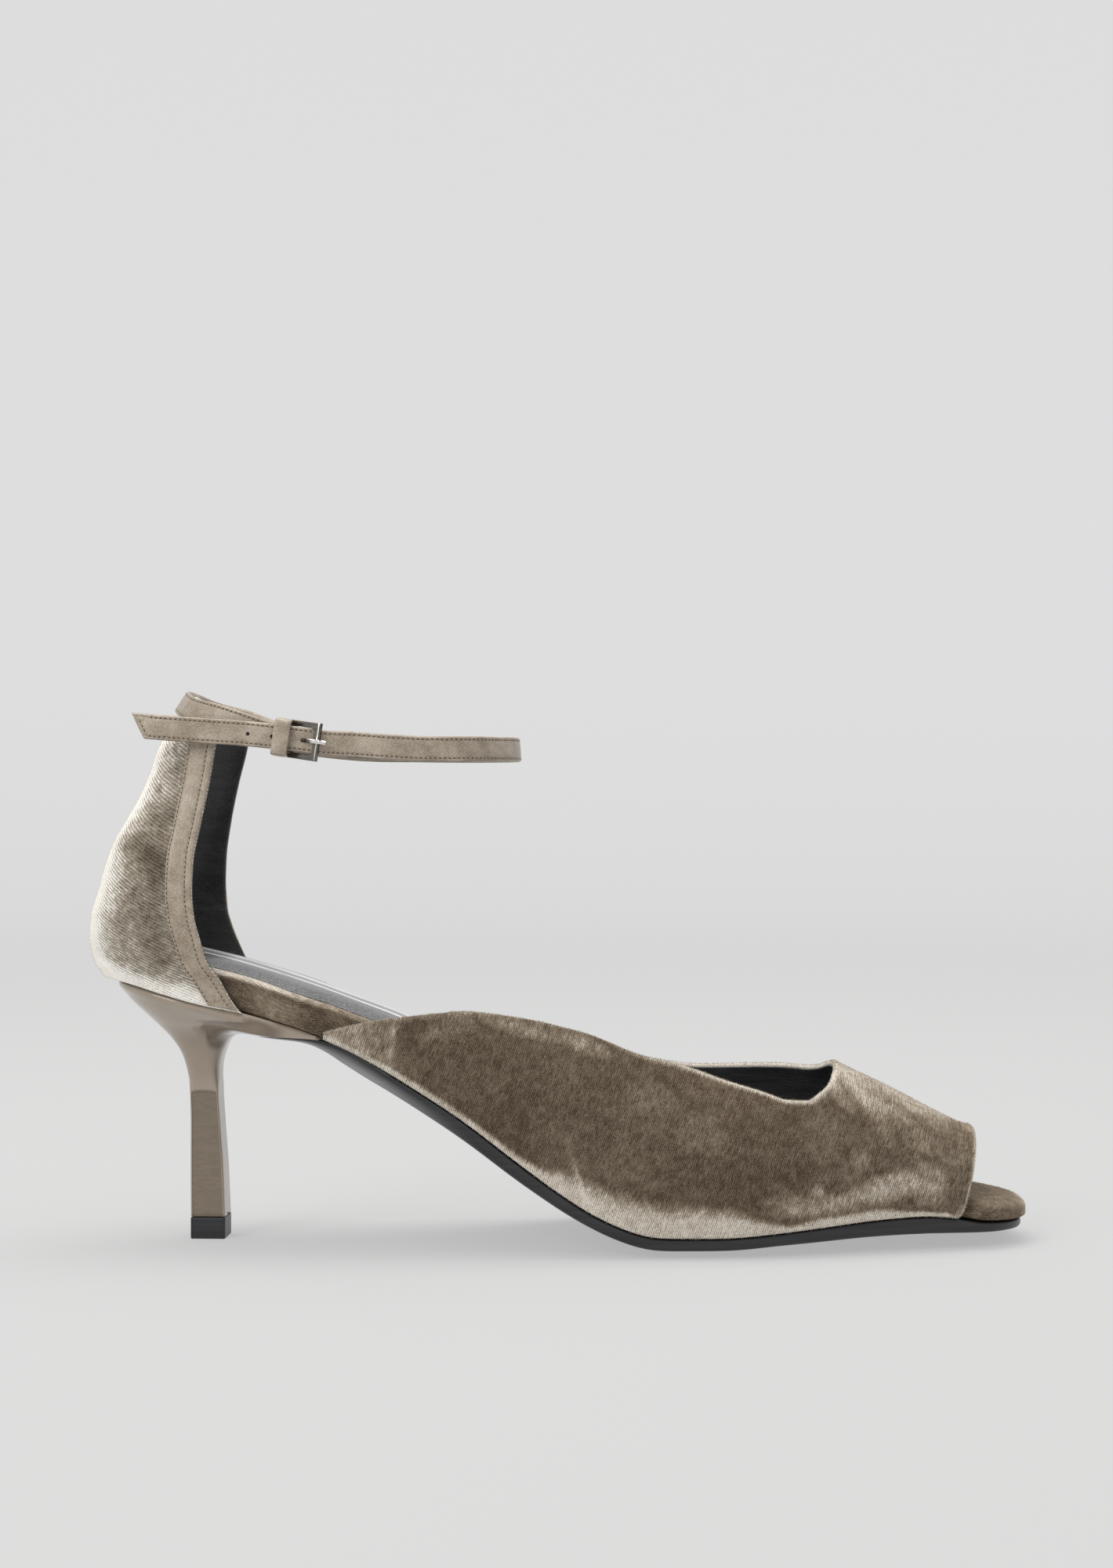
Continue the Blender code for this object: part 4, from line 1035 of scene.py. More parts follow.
VELVET_WALL = 1.35 * MM
LINING_FACE = 1.36 * MM
LINING_BACK = 1.8 * MM
RIM_ROWS = 0.8 * MM
rows = [(index, *row) for index, row in enumerate(VAMP)]
tip = np.array((0, 0.01, 0.03, 0.07, 0.13))
columns = np.concatenate((tip, np.linspace(0.2, len(VAMP) - 1.2, 440), len(VAMP) - 1 - tip[::-1]))
top_place, top_turn, low_place, low_turn = (follow(rows, k, columns) for k in (1, 2, 3, 4))
sketch = vamp_grid(np.linspace(0, 1, 9)[:, None])
size = np.linalg.norm(np.diff(sketch, axis=0), axis=2).sum(axis=0)[None, :]
share = rows_between(size, RIM_ROWS, 72)
grid = vamp_grid(share)
centre = grid * (1, 0, 0) + np.stack((0 * share, 0 * share, seat(grid[..., 0]) + 10 * MM), axis=-1)
normal = outward(grid, centre)
from_top, from_low, _ = rim_distances(grid)
x, y, z = np.moveaxis(grid, -1, 0)

CREASES = (
    # X, Z, length, width in mm, direction in degrees, depth in mm; outer side only
    (50.2, 55.0, 7.0, 1.2, 80, 0.45),
    (54.5, 55.5, 7.0, 3.0, 60, -0.35),
    (62.0, 56.5, 9.0, 2.5, 20, 0.25),
    (98.0, 19.0, 7.0, 1.0, 110, 0.30),
    (94.0, 20.5, 6.0, 2.2, 115, -0.25),
    (172.0, 38.0, 12.0, 2.0, -48, 0.30),
    (168.0, 33.0, 11.0, 3.5, -55, -0.25),
    (150.0, 14.5, 5.0, 2.0, -40, 0.22),
    (183.0, 24.0, 10.0, 3.0, 65, -0.30),
    (178.0, 19.0, 5.0, 0.7, -42, 0.16),
    (175.5, 17.5, 5.0, 0.7, -42, 0.14),
    (181.0, 17.0, 4.0, 0.6, -40, 0.12),
    (196.0, 35.0, 5.0, 3.0, -30, 0.45),
    (190.0, 37.5, 4.0, 3.0, -30, -0.25),
    (168.5, 43.0, 7.0, 1.4, -50, 0.25),
)
CREASE_BOW = 0.012
FEATHER_DROP = 0.35 * MM


def spot_frame(cx, cz, angle):
    """How far each point lies from a spot on the outer side in mm, along a direction and across it."""
    dx = x / MM - cx
    dz = z / MM - cz
    cosine, sine = math.cos(math.radians(angle)), math.sin(math.radians(angle))
    return dx * cosine + dz * sine, dz * cosine - dx * sine


crumple = 0 * x
for cx, cz, long, wide, angle, depth in CREASES:
    run, off = spot_frame(cx, cz, angle)
    off = off + CREASE_BOW * run ** 2
    crumple += depth * MM * np.exp(-(run / long) ** 2 - (off / wide) ** 2) * (y < 0)
grid = grid + normal * crumple[..., None]
grid[..., 2] -= FEATHER_DROP * blend(2 * MM, 0.3 * MM, from_low) * blend(place(0.93), place(0.90), x)

LOW_SHEEN_BAND = (
    # X, height of the painted pale sheen band along the lower edge, both in mm
    (-10, 1.5),
    (80, 1.9),
    (89, 3.0),
    (94, 6.0),
    (98, 7.0),
    (106, 7.6),
    (113, 8.2),
    (121, 7.8),
    (129, 7.4),
    (136, 6.6),
    (144, 3.8),
    (152, 1.5),
    (160, 2.6),
    (168, 2.6),
    (175, 3.4),
    (183, 2.0),
    (205, 1.5),
)
low_sheen_band = follow(LOW_SHEEN_BAND, 1, x / MM) * MM
lie = np.arctan2(z - 0.012, np.abs(y)) / (math.pi / 2)
# Painted sheen: the top edge of the throat is painted pale.
throat_rim_sheen = blend(2.6 * MM, 0.3 * MM, from_top) * (0.34 + 0.62 * blend(0.105, 0.130, x))
wing_tip = 0.56 * blend(0.058, 0.038, x + 0.25 * (z - 0.055))
# Painted highlight: the toe band's upper face, where it turns up toward the light, is painted pale.
toe_top_highlight = (0.30 + 0.42 * blend(0.55, 1.0, lie)) * blend(0.158, 0.172, x) * blend(0.42, 0.72, lie)
# Painted sheen: a pale band along the lower edge, where the cloth curves under toward the light.
nap_and_sheen = 0.12 + 0.70 * blend(1.25 * low_sheen_band, 0.50 * low_sheen_band, from_low)
for pale in (throat_rim_sheen, wing_tip, toe_top_highlight):
    nap_and_sheen = np.maximum(nap_and_sheen, pale)
PALE_PILE_AND_SHEEN = (
    # X, Z, half length, half height in mm, direction in degrees, how pale; brushed pile and painted
    # sheen highlights
    (158.5, 16.5, 2.0, 2.2, 0, 0.55),
    (153.0, 14.5, 2.6, 1.6, 20, 0.50),
    (147.0, 14.0, 2.2, 1.2, -30, 0.36),
    (177.0, 16.5, 13.0, 4.0, 12, 0.60),
    (188.0, 17.0, 6.0, 6.0, 0, 0.42),
    (170.0, 24.0, 4.0, 3.0, -40, 0.34),
    (160.0, 13.0, 15.0, 3.0, 4, 0.50),
    (186.0, 28.0, 5.0, 6.0, 0, 0.28),
    (163.0, 43.0, 9.0, 2.0, -52, 0.52),
    (176.0, 38.0, 12.0, 4.0, -35, 0.46),
    (86.0, 57.0, 14.0, 2.6, -14, 0.42),
    (99.0, 53.5, 9.0, 2.6, -20, 0.42),
    (97.5, 20.5, 0.9, 3.0, 12, 0.36),
    (101.0, 16.5, 5.0, 3.0, -40, 0.50),
    (130.0, 30.0, 14.0, 8.0, -20, 0.20),
    (116.0, 40.0, 9.0, 6.0, 0, 0.19),
)
for cx, cz, wide, tall, angle, pale in PALE_PILE_AND_SHEEN:
    run, off = spot_frame(cx, cz, angle)
    spot = pale * np.exp(-((run / wide) ** 2 + (off / tall) ** 2) ** 1.5)
    nap_and_sheen = np.maximum(nap_and_sheen, spot * (y < 0.004))
nap_and_sheen = nap_and_sheen + 0.05 * blend(0.145, 0.165, x)
# Painted light: crease ridges are painted paler as a highlight, and dents a little darker as shade.
nap_and_sheen = nap_and_sheen + (np.maximum(crumple, 0) * 0.75 + np.minimum(crumple, 0) * 0.12) / MM
toe_edge = blend(place(0.905), place(0.925), x)
# Partly painted highlight: the toe tip is paler on its upper face, where it turns toward the light, and
# pale along its lower edge.
toe_tip_nap_and_highlight = 0.20 + 0.2 * blend(0.6, 1.0, lie) + 0.6 * blend(0.9 * MM, 0.25 * MM, from_low)
nap_and_sheen = nap_and_sheen * (1 - toe_edge) + toe_edge * toe_tip_nap_and_highlight

taupe_velvet = velvet("vamp velvet", TAUPE_TONES, 0.50, math.radians(-20), 0.34, 1.3)
shell = walled(grid, normal, 0.0, VELVET_WALL)
uv = np.stack((x / MM, z / MM), axis=-1)
brink = blend(1.3 * MM, 0.1 * MM, np.minimum(from_top, from_low + blend(0.190, 0.188, x)))
fuzz = 0.30 + 0.8 * brink
bristling = np.maximum(blend(0.105, 0.125, x), blend(0.080, 0.060, x))
pale_spots = brink * (0.35 + 0.65 * bristling) + 0.25 * blend(0.3, 0.6, nap_and_sheen)
marks = {"nap_and_sheen": doubled(nap_and_sheen), "fuzz": np.concatenate((fuzz, 0 * fuzz)),
         "pale": np.concatenate((pale_spots, 0.3 * brink[::-1]))}
vamp = skin("vamp_velvet", shell, [taupe_velvet], uv=doubled(uv), marks=marks)
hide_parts("vamp")
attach(vamp, "root")
pile("vamp_pile", vamp, 48000, 0.50 * MM, (0.2, 0, 0.45), soft_taupe, 4)
pale_fibre = fibre_finish("pale fibre", colour(200, 192, 179))
pile("vamp_rim_pile", vamp, 18000, 0.50 * MM, (0, 0, 0.3), pale_fibre, 6, "pale")

lining_black, wire, here = new_finish("black lining leather")
fold = wire.noise(wire.stretched(here, (70, 70, 330)), 1.0, 4, 0.65)
pore = wire.node("TexVoronoi", {"feature": "DISTANCE_TO_EDGE"}, {"Vector": here, "Scale": 1500})
height = wire.axis(here, 2)
# Painted highlight: in a band low in the lining, the fold crests are painted paler grey.
wrinkle_highlight = height.step(0.094, 0.080) * height.step(0.068, 0.074) * (0.12 + 0.5 * fold.step(0.52, 0.70))
black = fold.step(0.35, 0.75).mix(colour(24, 24, 26), colour(46, 46, 48))
lay_on(wire, {
    "Base Color": wrinkle_highlight.mix(black, colour(92, 92, 90)),
    "Roughness": 0.30 + 0.2 * fold,
    "Coat Weight": 0.2,
    "Coat Roughness": 0.2,
    "Normal": (fold * 7.0 + pore.step(0.0, 0.25) * 0.4).bump(0.10 * MM),
})
inside = walled(grid[3:-1], normal[3:-1], LINING_FACE, LINING_BACK)
vamp_lining = skin("vamp_lining", inside[:, ::3], [lining_black])
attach(vamp_lining, "root")


# Counter: the tall back quarter, a U of ribbed velvet over a stiffener, lined in black leather.
# The pile lies in coarse ribs that fall toward the front, painted pale on the back as a painted sheen,
# and rubbed dark in places.
FRONT_EDGE = (
    # height, outer edge, inner edge
    (-0.100, 0.400, 0.430),
    (-0.063, 0.310, 0.365),
    (0.041, 0.156, 0.240),
    (0.084, 0.083, 0.187),
    (0.179, 0.010, 0.090),
    (0.242, -0.029, 0.048),
    (0.334, -0.048, 0.035),
    (0.426, -0.041, 0.044),
    (0.558, 0.016, 0.092),
    (0.700, 0.083, 0.165),
    (0.814, 0.127, 0.235),
    (0.950, 0.180, 0.290),
)
COLLAR = (
    # turn, height as a share of the counter's height
    (0.00, 0.948),
    (0.40, 0.970),
    (0.75, 0.993),
    (1.00, 0.999),
    (1.25, 0.993),
    (1.60, 0.968),
    (2.00, 0.940),
)


def counter_place(turn, height):
    """X of a point of the counter; turn 0 is the outer front edge, 1 the back, 2 the inner edge."""
    share = (np.asarray(height) - HEEL_HEIGHT) / COUNTER_HEIGHT
    front = np.where(turn < 1, follow(FRONT_EDGE, 1, share), follow(FRONT_EDGE, 2, share)) * BACK_REACH
    back = counter_size(height, 1)
    return back + (front - back) * (1 - np.sin(np.minimum(turn, 2 - turn) * math.pi / 2))


def counter_normal(turn, height):
    """The slope of the cup's ellipse at a point, which points out of the counter."""
    x = counter_place(turn, height)
    half = 0.5 * MM

    def level(px, py, pz):
        depth = counter_size(pz, 3)
        share = np.clip((counter_size(pz, 1) + depth - px) / depth, 0, 1.2)
        return share ** CUP_SQUARENESS + (np.abs(py) / counter_size(pz, 2)) ** CUP_SQUARENESS

    y = np.where(turn < 1, -1.0, 1.0) * heel_width(x, height)
    return unit(np.stack(np.broadcast_arrays(
        level(x + half, y, height) - level(x - half, y, height),
        level(x, y + half, height) - level(x, y - half, height),
        level(x, y, height + half) - level(x, y, height - half)), axis=-1))


def counter_point(turn, height, out=0.0):
    """A point of the counter's outer face, moved out by a distance."""
    x = counter_place(turn, height)
    y = np.where(turn < 1, -1.0, 1.0) * heel_width(x, height)
    return np.stack(np.broadcast_arrays(x, y, height), axis=-1) + out * counter_normal(turn, height)


def collar_height(turn):
    """Height of the counter's top edge."""
    return HEEL_HEIGHT + follow(COLLAR, 1, turn) * COUNTER_HEIGHT


def counter_foot(turn):
    """Height of the counter's lower edge, which follows the seat."""
    height = np.full(np.shape(turn), HEEL_HEIGHT)
    for _ in range(6):
        height = seat(counter_place(turn, height)) + GAP
    return height


SEAT_LAP = 0.45 * MM
ends = np.array((0, 0.0008, 0.0024, 0.005, 0.009, 0.014, 0.02))
turn = np.concatenate((ends, np.linspace(0.02, 1.98, 230)[1:-1], 2 - ends[::-1]))[None, :]
low = counter_foot(turn) - SEAT_LAP
size = collar_height(turn) - low
share = 1 - rows_between(size, RIM_ROWS, 96)
height = low + size * share
grid = counter_point(turn, height)
normal = counter_normal(turn, height)
from_top, from_low, _ = rim_distances(grid)
x, y, z = np.moveaxis(grid, -1, 0)
to_back = np.minimum(turn, 2 - turn)
# Painted sheen: the counter is painted paler toward its back, less so on the inner side past the back.
nap_and_sheen = 0.52 + 0.60 * blend(0.42, 0.86, to_back) + 0 * x
nap_and_sheen = nap_and_sheen - 0.28 * blend(0.90, 1.08, turn)
nap_and_sheen = nap_and_sheen + 0.42 * blend(9 * MM, 3 * MM, from_low) * blend(1.12, 0.92, turn)
RUBBED = (
    # X, Z, half length, half height in mm, how much darker
    (-9.5, 112, 4, 4, 0.28),
    (-13, 103, 6, 5, 0.30),
    (-11, 96, 4, 8, 0.31),
    (-19, 105, 5, 5, 0.22),
    (-10, 79, 5, 7, 0.28),
    (-15, 86, 6, 6, 0.20),
    (-22, 80, 4, 5, 0.14),
    (-17, 93, 3, 4, 0.12),
    (-5, 124, 3, 5, 0.16),
)
for cx, cz, wide, tall, depth in RUBBED:
    run, off = spot_frame(cx, cz, 0)
    nap_and_sheen = nap_and_sheen - depth * np.exp(-(run / wide) ** 2 - (off / tall) ** 2) * (y < 0.01)
nap_and_sheen = nap_and_sheen - 0.12 * blend(-0.5, 1.0, np.sin(x * 330 + 1) * np.sin(z * 210)) * blend(0.006, 0.014, y)
uv = np.stack((run_over(grid, 1), z), axis=-1) / MM
PALE_TONES = (colour(76, 65, 52), colour(152, 143, 129), colour(242, 239, 232))
ribbed_velvet = velvet("counter velvet", PALE_TONES, 0.86, math.radians(116), 0.36, 0.9)
shell = walled(grid, normal, 0.0, VELVET_WALL)
fuzz = 0.3 + 0.8 * blend(0.5, 0.95, to_back) + 0 * x
marks = {"nap_and_sheen": doubled(nap_and_sheen), "fuzz": np.concatenate((fuzz, 0 * fuzz))}
counter = skin("counter_velvet", shell, [ribbed_velvet], uv=doubled(uv), marks=marks)
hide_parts("counter")
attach(counter, "root")
pile("counter_pile", counter, 24000, 0.30 * MM, (0, 0, -0.3), pale_fibre, 5)
inside = walled(grid[2:-2], normal[2:-2], LINING_FACE, LINING_BACK)
counter_lining = skin("counter_lining", inside[:, ::2], [lining_black])
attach(counter_lining, "root")


# Facings: beige satin leather tapes on the counter's two front edges, each with two rows of stitches.
# The thread is a shade darker than the tape and sinks into small pits between the stitches; each pit is
# a dark flat rod of painted shade.
beige_leather, wire, here = new_finish("beige satin leather")
cell = wire.node("TexVoronoi", {"feature": "DISTANCE_TO_EDGE"}, {"Vector": here, "Scale": 2300})
crack = cell.step(0.0, 0.25)
satin = wire.noise(here, 260, 4, 0.65)
pore = wire.noise(here, 2600, 2)
# Painted sheen: random pale patches that stand for the leather's glints.
painted_sheen = wire.noise(here, 85, 2).step(0.52, 0.74)
tone = satin.step(0.30, 0.72) * 0.38 + crack * 0.18
tone = (tone + pore.step(0.30, 0.70) * 0.36 + painted_sheen * 0.34).clamp()
lay_on(wire, {
    "Base Color": tone.mix(colour(120, 104, 86), colour(184, 172, 155)),
    "Roughness": 0.32 + 0.16 * satin,
    "Metallic": 0.15,
    "Coat Weight": 0.3,
    "Coat Roughness": 0.2,
    "Normal": (crack * 0.7 + satin * 2.6 + pore * 1.8).bump(0.06 * MM),
})
thread, wire, here = new_finish("taupe thread")
twist = wire.noise(here, 900, 2)
lay_on(wire, {"Base Color": twist.mix(colour(112, 97, 80), colour(186, 173, 154)), "Roughness": 0.5})
# Painted shade: the dark colour of the pits between stitches.
pit_shade, wire, here = new_finish("stitch pit shade")
lay_on(wire, {"Base Color": colour(88, 74, 59), "Roughness": 0.9})


STITCH_PITCH = 1.25 * MM
STITCH_HALF = 0.40 * MM
STITCH_THICK = 0.15 * MM
STITCH_SINK = 0.02 * MM
STITCH_GROOVE = 0.14 * MM
PIT_HALF = 0.26 * MM
PIT_WIDE = 0.20 * MM
PIT_TALL = 0.06 * MM


def stitch_row(name, line, out):
    """Stitches along a line on a surface, with a dark pit between each two.

    A stitch is a ring of six points carried over five stations, thin at both ends and arched.
    A pit is the same, but shorter and pressed flat, and its dark colour is painted shade.
    """
    steps = np.linalg.norm(np.diff(line, axis=0), axis=1)
    run = np.concatenate(([0], steps.cumsum()))
    count = max(2, int(run[-1] / STITCH_PITCH))
    middle = (np.arange(count) + 0.5) * run[-1] / count

    def at(where, what):
        return np.stack([np.interp(where, run, what[:, axis]) for axis in range(3)], axis=-1)

    def rods(where, half, wide, tall):
        station = np.array((-1.0, -0.8, 0.0, 0.8, 1.0))
        girth = np.array((0.0, 0.75, 1.0, 0.75, 0.0))
        angle = np.linspace(0, 2 * math.pi, 6, endpoint=False)
        root = at(where[:, None] + half * station, line)
        up = unit(at(where[:, None] + half * station, out))
        ahead = unit(at(where + 0.1 * MM, line) - at(where - 0.1 * MM, line))
        side = np.cross(up, ahead[:, None])
        root = root + up * (STITCH_SINK + tall * 0.35 * (girth - 0.4))[None, :, None]
        ring = side[:, :, None] * (wide * np.cos(angle))[None, None, :, None]
        ring = ring + up[:, :, None] * (tall * np.sin(angle))[None, None, :, None]
        return root[:, :, None] + ring * girth[None, :, None, None]

    between = (np.arange(count - 1) + 1.0) * run[-1] / count
    stitches = rods(middle, STITCH_HALF, STITCH_THICK, STITCH_THICK)
    pits = rods(between, PIT_HALF, PIT_WIDE, PIT_TALL)
    verts, faces, slots, shift = [], [], [], 0
    for slot, part in enumerate((stitches, pits)):
        number = np.arange(part[..., 0].size).reshape(part.shape[:3]) + shift
        number = np.concatenate((number, number[:, :, :1]), axis=2)
        near, far = number[:, :-1], number[:, 1:]
        quads = np.stack((near[..., :-1], far[..., :-1], far[..., 1:], near[..., 1:]), axis=-1)
        verts.append(part.reshape(-1, 3))
        faces.append(quads.reshape(-1, 4))
        slots.append(np.full(quads.size // 4, slot))
        shift += part[..., 0].size
    mesh = bpy.data.meshes.new(name)
    mesh.from_pydata(np.concatenate(verts), [], np.concatenate(faces))
    mesh.polygons.foreach_set("material_index", np.concatenate(slots).astype(np.int32))
    work = bmesh.new()
    work.from_mesh(mesh)
    bmesh.ops.remove_doubles(work, verts=work.verts, dist=1e-7)
    bmesh.ops.recalc_face_normals(work, faces=work.faces)
    work.to_mesh(mesh)
    work.free()
    mesh.shade_smooth()
    mesh.materials.append(thread)
    mesh.materials.append(pit_shade)
    piece = bpy.data.objects.new(name, mesh)
    bpy.context.scene.collection.objects.link(piece)
    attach(piece, "root")


STRAP_WIDTH = 0.0065
FACING_ROWS = (1.7, 6.15)
TAPE_LIFT = 0.90 * MM
TAPE_THICK = 0.88 * MM
for side, word in ((-1, "outer"), (1, "inner")):
    edge_turn = 0.0 if side < 0 else 2.0
    low = counter_foot(np.array([edge_turn]))[0] + GAP
    top = collar_height(edge_turn) - 0.75 * STRAP_WIDTH
    share = 1 - rows_between(np.array([[top - low]]), 0.5 * MM, 90)
    depth = np.array((0.0, 0.03, 0.1, 0.2, 0.35, 0.5))
    depth = np.concatenate((depth, np.linspace(0.5, 6.2, 24)[1:-1], 6.7 - depth[::-1]))[None, :] * MM
    foot = np.full(depth.shape, low)
    for _ in range(8):
        foot = seat(counter_place(np.full(depth.shape, edge_turn), foot) - depth) + 1.2 * GAP
    tall = foot + (top - foot) * share
    front = counter_place(np.full(tall.shape, edge_turn), tall)
    back = counter_size(tall, 1)
    inset = np.clip((front - depth - back) / (front - back), 0, 1)
    turn = np.arcsin(1 - inset) / (math.pi / 2)
    turn = turn if side < 0 else 2 - turn
    depth = depth[0]
    groove = np.exp(-((depth / MM - FACING_ROWS[0]) / 0.35) ** 2)
    groove = groove + 0.8 * np.exp(-((depth / MM - FACING_ROWS[1]) / 0.30) ** 2)
    lift = TAPE_LIFT + 1.3 * GAP - STITCH_GROOVE * groove
    normal = counter_normal(turn, tall)
    grid = counter_point(turn, tall) + normal * lift[None, :, None]
    tape = skin(f"facing_{word}_tape", walled(grid, normal, 0.0, TAPE_THICK), [beige_leather])
    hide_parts(f"facing_{word}")
    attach(tape, "root")
    for number, where in enumerate(FACING_ROWS):
        column = int(np.argmin(np.abs(depth / MM - where)))
        stitch_row(f"facing_{word}_stitches_{number}", grid[4:-4, column], normal[4:-4, column])


# Ankle strap: one stitched band of the same beige leather on a dark backing, 6.5 mm wide.
# It runs from the buckle round the heel and the ankle, through the buckle and keeper, to a cut tip.
STRAP_THICKNESS = 0.0015
STRAP_STITCH = 2.4
STRAP_LENGTH = 0.093
STRAP_SPREAD = 0.027
TIP_SLANT = 0.0019
BUCKLE_BAR = 0.0014
BUCKLE_LENGTH = 0.0086
STRAP_FRONT = (
    # place along the strap's length, side, rise in strap widths, lean of its upper edge backward
    (0.320, 0.990, 0.16, 0.00),
    (0.500, 1.010, -0.20, 0.00),
    (0.700, 0.980, -0.27, 0.00),
    (0.870, 0.800, -0.29, 0.02),
    (0.958, 0.430, -0.29, 0.05),
    (0.983, 0.000, -0.29, 0.08),
    (0.958, -0.450, -0.29, 0.05),
    (0.870, -0.830, -0.29, 0.02),
    (0.700, -1.010, -0.28, 0.00),
    (0.610, -1.035, -0.20, 0.00),
)
bar = np.array((0.0251, -STRAP_SPREAD - 0.0002, HEEL_HEIGHT + 0.844 * COUNTER_HEIGHT))


def smooth_line(points, count):
    """Points at even spacing on a cubic through a list of points, sloped as their neighbours lie."""
    points = np.asarray(points, dtype=float)
    knots = np.concatenate(([0], np.linalg.norm(np.diff(points[:, :3], axis=0), axis=1).cumsum()))
    slopes = np.gradient(points, knots, axis=0)
    where = np.linspace(0, knots[-1], count)
    return cubic(knots, points, slopes, where)


def near_bar(x, y, z):
    """A point of the strap's line and the lean of its upper edge; X and Z in mm from the rear bar."""
    return bar[0] + x * MM, y, bar[2] + z * MM, 0, 0, 1


half = STRAP_THICKNESS / 2
inner_side = STRAP_SPREAD - 1.2 * MM
start = [near_bar(-2.6, -inner_side, -0.1), near_bar(-9.0, -inner_side + 0.3 * MM, 2.0)]
turn = np.concatenate((np.linspace(0.12, 0.9, 8), np.linspace(1.1, 1.88, 8)))
height = collar_height(turn) - 0.35 * STRAP_WIDTH
middle = counter_point(turn, height, 1.7 * GAP + half)
normal = counter_normal(turn, height)
up = np.cross(normal, np.stack((normal[:, 1], -normal[:, 0], 0 * turn), axis=1))
up = unit(up * np.sign(up[:, 2:3]))
cup = [(*point, *lean) for point, lean in zip(middle, up)]
loop = [
    (share * STRAP_LENGTH - 0.0095, side * STRAP_SPREAD, bar[2] + rise * STRAP_WIDTH - 0.0006,
     -lean, 0, math.sqrt(1 - lean * lean))
    for share, side, rise, lean in STRAP_FRONT
]
over = -STRAP_SPREAD - 0.0002 - BUCKLE_BAR / 2 - GAP - half
layer = -inner_side - half - GAP - half
end = [
    near_bar(15.0, -STRAP_SPREAD - 1.1 * MM, -1.4),
    near_bar((BUCKLE_LENGTH - BUCKLE_BAR) / MM, -STRAP_SPREAD - 1.1 * MM, -1.0),
    near_bar(3.0, over - 0.1 * MM, -0.4),
    near_bar(0.0, over - 0.1 * MM, 0.0),
    near_bar(-5.0, layer - 0.8 * MM, 0.6),
    near_bar(-14.0, layer - 0.3 * MM, 1.5),
    near_bar(-26.0, layer + 0.2 * MM, 2.3),
    near_bar(-34.0, layer + 0.4 * MM, 2.9),
    near_bar(-40.3, layer + 1.2 * MM, 3.4),
]
line = smooth_line(start + cup + loop + end, 900)
middle = line[:, :3]
ahead = unit(np.gradient(middle, axis=0))
up = unit(line[:, 3:] - ahead * np.sum(line[:, 3:] * ahead, axis=1, keepdims=True))
out = np.cross(up, ahead)
FACE_POINTS = 33
BACK_POINTS = 7
tall = np.concatenate((np.linspace(-1, 1, FACE_POINTS), np.linspace(1, -1, BACK_POINTS + 2)[1:-1]))
tall = tall * STRAP_WIDTH / 2
near = np.clip((STRAP_WIDTH / 2 - np.abs(tall)) / (0.5 * MM), 0, 1)
ease = np.sqrt(1 - (1 - near) ** 2)
face = np.concatenate((np.ones(FACE_POINTS), -np.ones(BACK_POINTS)))
groove = np.exp(-((np.abs(tall) / MM - STRAP_STITCH) / 0.28) ** 2) * STITCH_GROOVE * (face > 0)
crown = 0.10 * MM * (1 - (tall / (STRAP_WIDTH / 2)) ** 2) * (face > 0)
deep = face * ease * (half - 0.06 * MM) - groove + crown
slant = TIP_SLANT * tall / (STRAP_WIDTH / 2)
points = middle[:, None] + up[:, None] * tall[None, :, None] + out[:, None] * deep[None, :, None]
cut = blend(len(middle) - 40, len(middle) - 1, np.arange(len(middle)))
points += (cut[:, None] * slant[None, :])[..., None] * ahead[:, None]
points = np.concatenate((points[:1].mean(axis=1, keepdims=True) + 0 * points[:1], points,
                         points[-1:].mean(axis=1, keepdims=True) + 0 * points[-1:]))
slots = np.zeros((len(points) - 1, len(tall)), int)
slots[:, FACE_POINTS:-1] = 1
strap = skin("ankle_strap_leather", points, [beige_leather, lining_black], rolled=True, slots=slots)
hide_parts("ankle_strap")
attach(strap, "root")
for number, where in enumerate((-STRAP_STITCH, STRAP_STITCH)):
    row = middle + up * where * MM + out * (half - 0.10 * MM)
    stitch_row(f"strap_stitches_{number}", row[14:-7], out[14:-7])
rise_up = np.linspace(-2.2, 2.2, 12)[:, None] * MM
row = middle[-5] + up[-5] * rise_up + ahead[-5] * rise_up * TIP_SLANT / (STRAP_WIDTH / 2)
row = row + out[-5] * (half + 0.01 * MM)
stitch_row("strap_stitches_tip", row, np.repeat(out[-5:-4], 12, axis=0))

# Holes: three round holes punched through the strap, one of them filled by the prong.
# Each is a shallow dark dish in the leather, 1 mm across, a painted shade standing for the hole.
STRAP_HOLES = (0.0131, 0.0193, 0.0274)
HOLE_SECTION = (
    # radius, height over the leather, both in mm
    (0.0, 0.01),
    (0.40, 0.01),
    (0.50, 0.0),
    (0.46, -0.05),
    (0.0, -0.06),
)
hole_shade, wire, here = new_finish("painted hole shade")
lay_on(wire, {"Base Color": colour(34, 27, 22), "Roughness": 0.9})
tail = np.arange(600, 890)
angle = np.linspace(0, 2 * math.pi, 25)[:-1, None]
for number, where in enumerate(STRAP_HOLES):
    station = tail[np.argmin(np.abs(middle[tail, 0] - where))]
    circle = np.cos(angle) * ahead[station] + np.sin(angle) * up[station]
    rings = []
    for radius, raised in HOLE_SECTION:
        spot = middle[station] + out[station] * (half + 0.05 * MM + raised * MM)
        rings.append(spot + radius * MM * circle)
    hole = skin(f"strap_hole_{number}", np.array(rings), [hole_shade], rolled=True)
    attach(hole, "root")


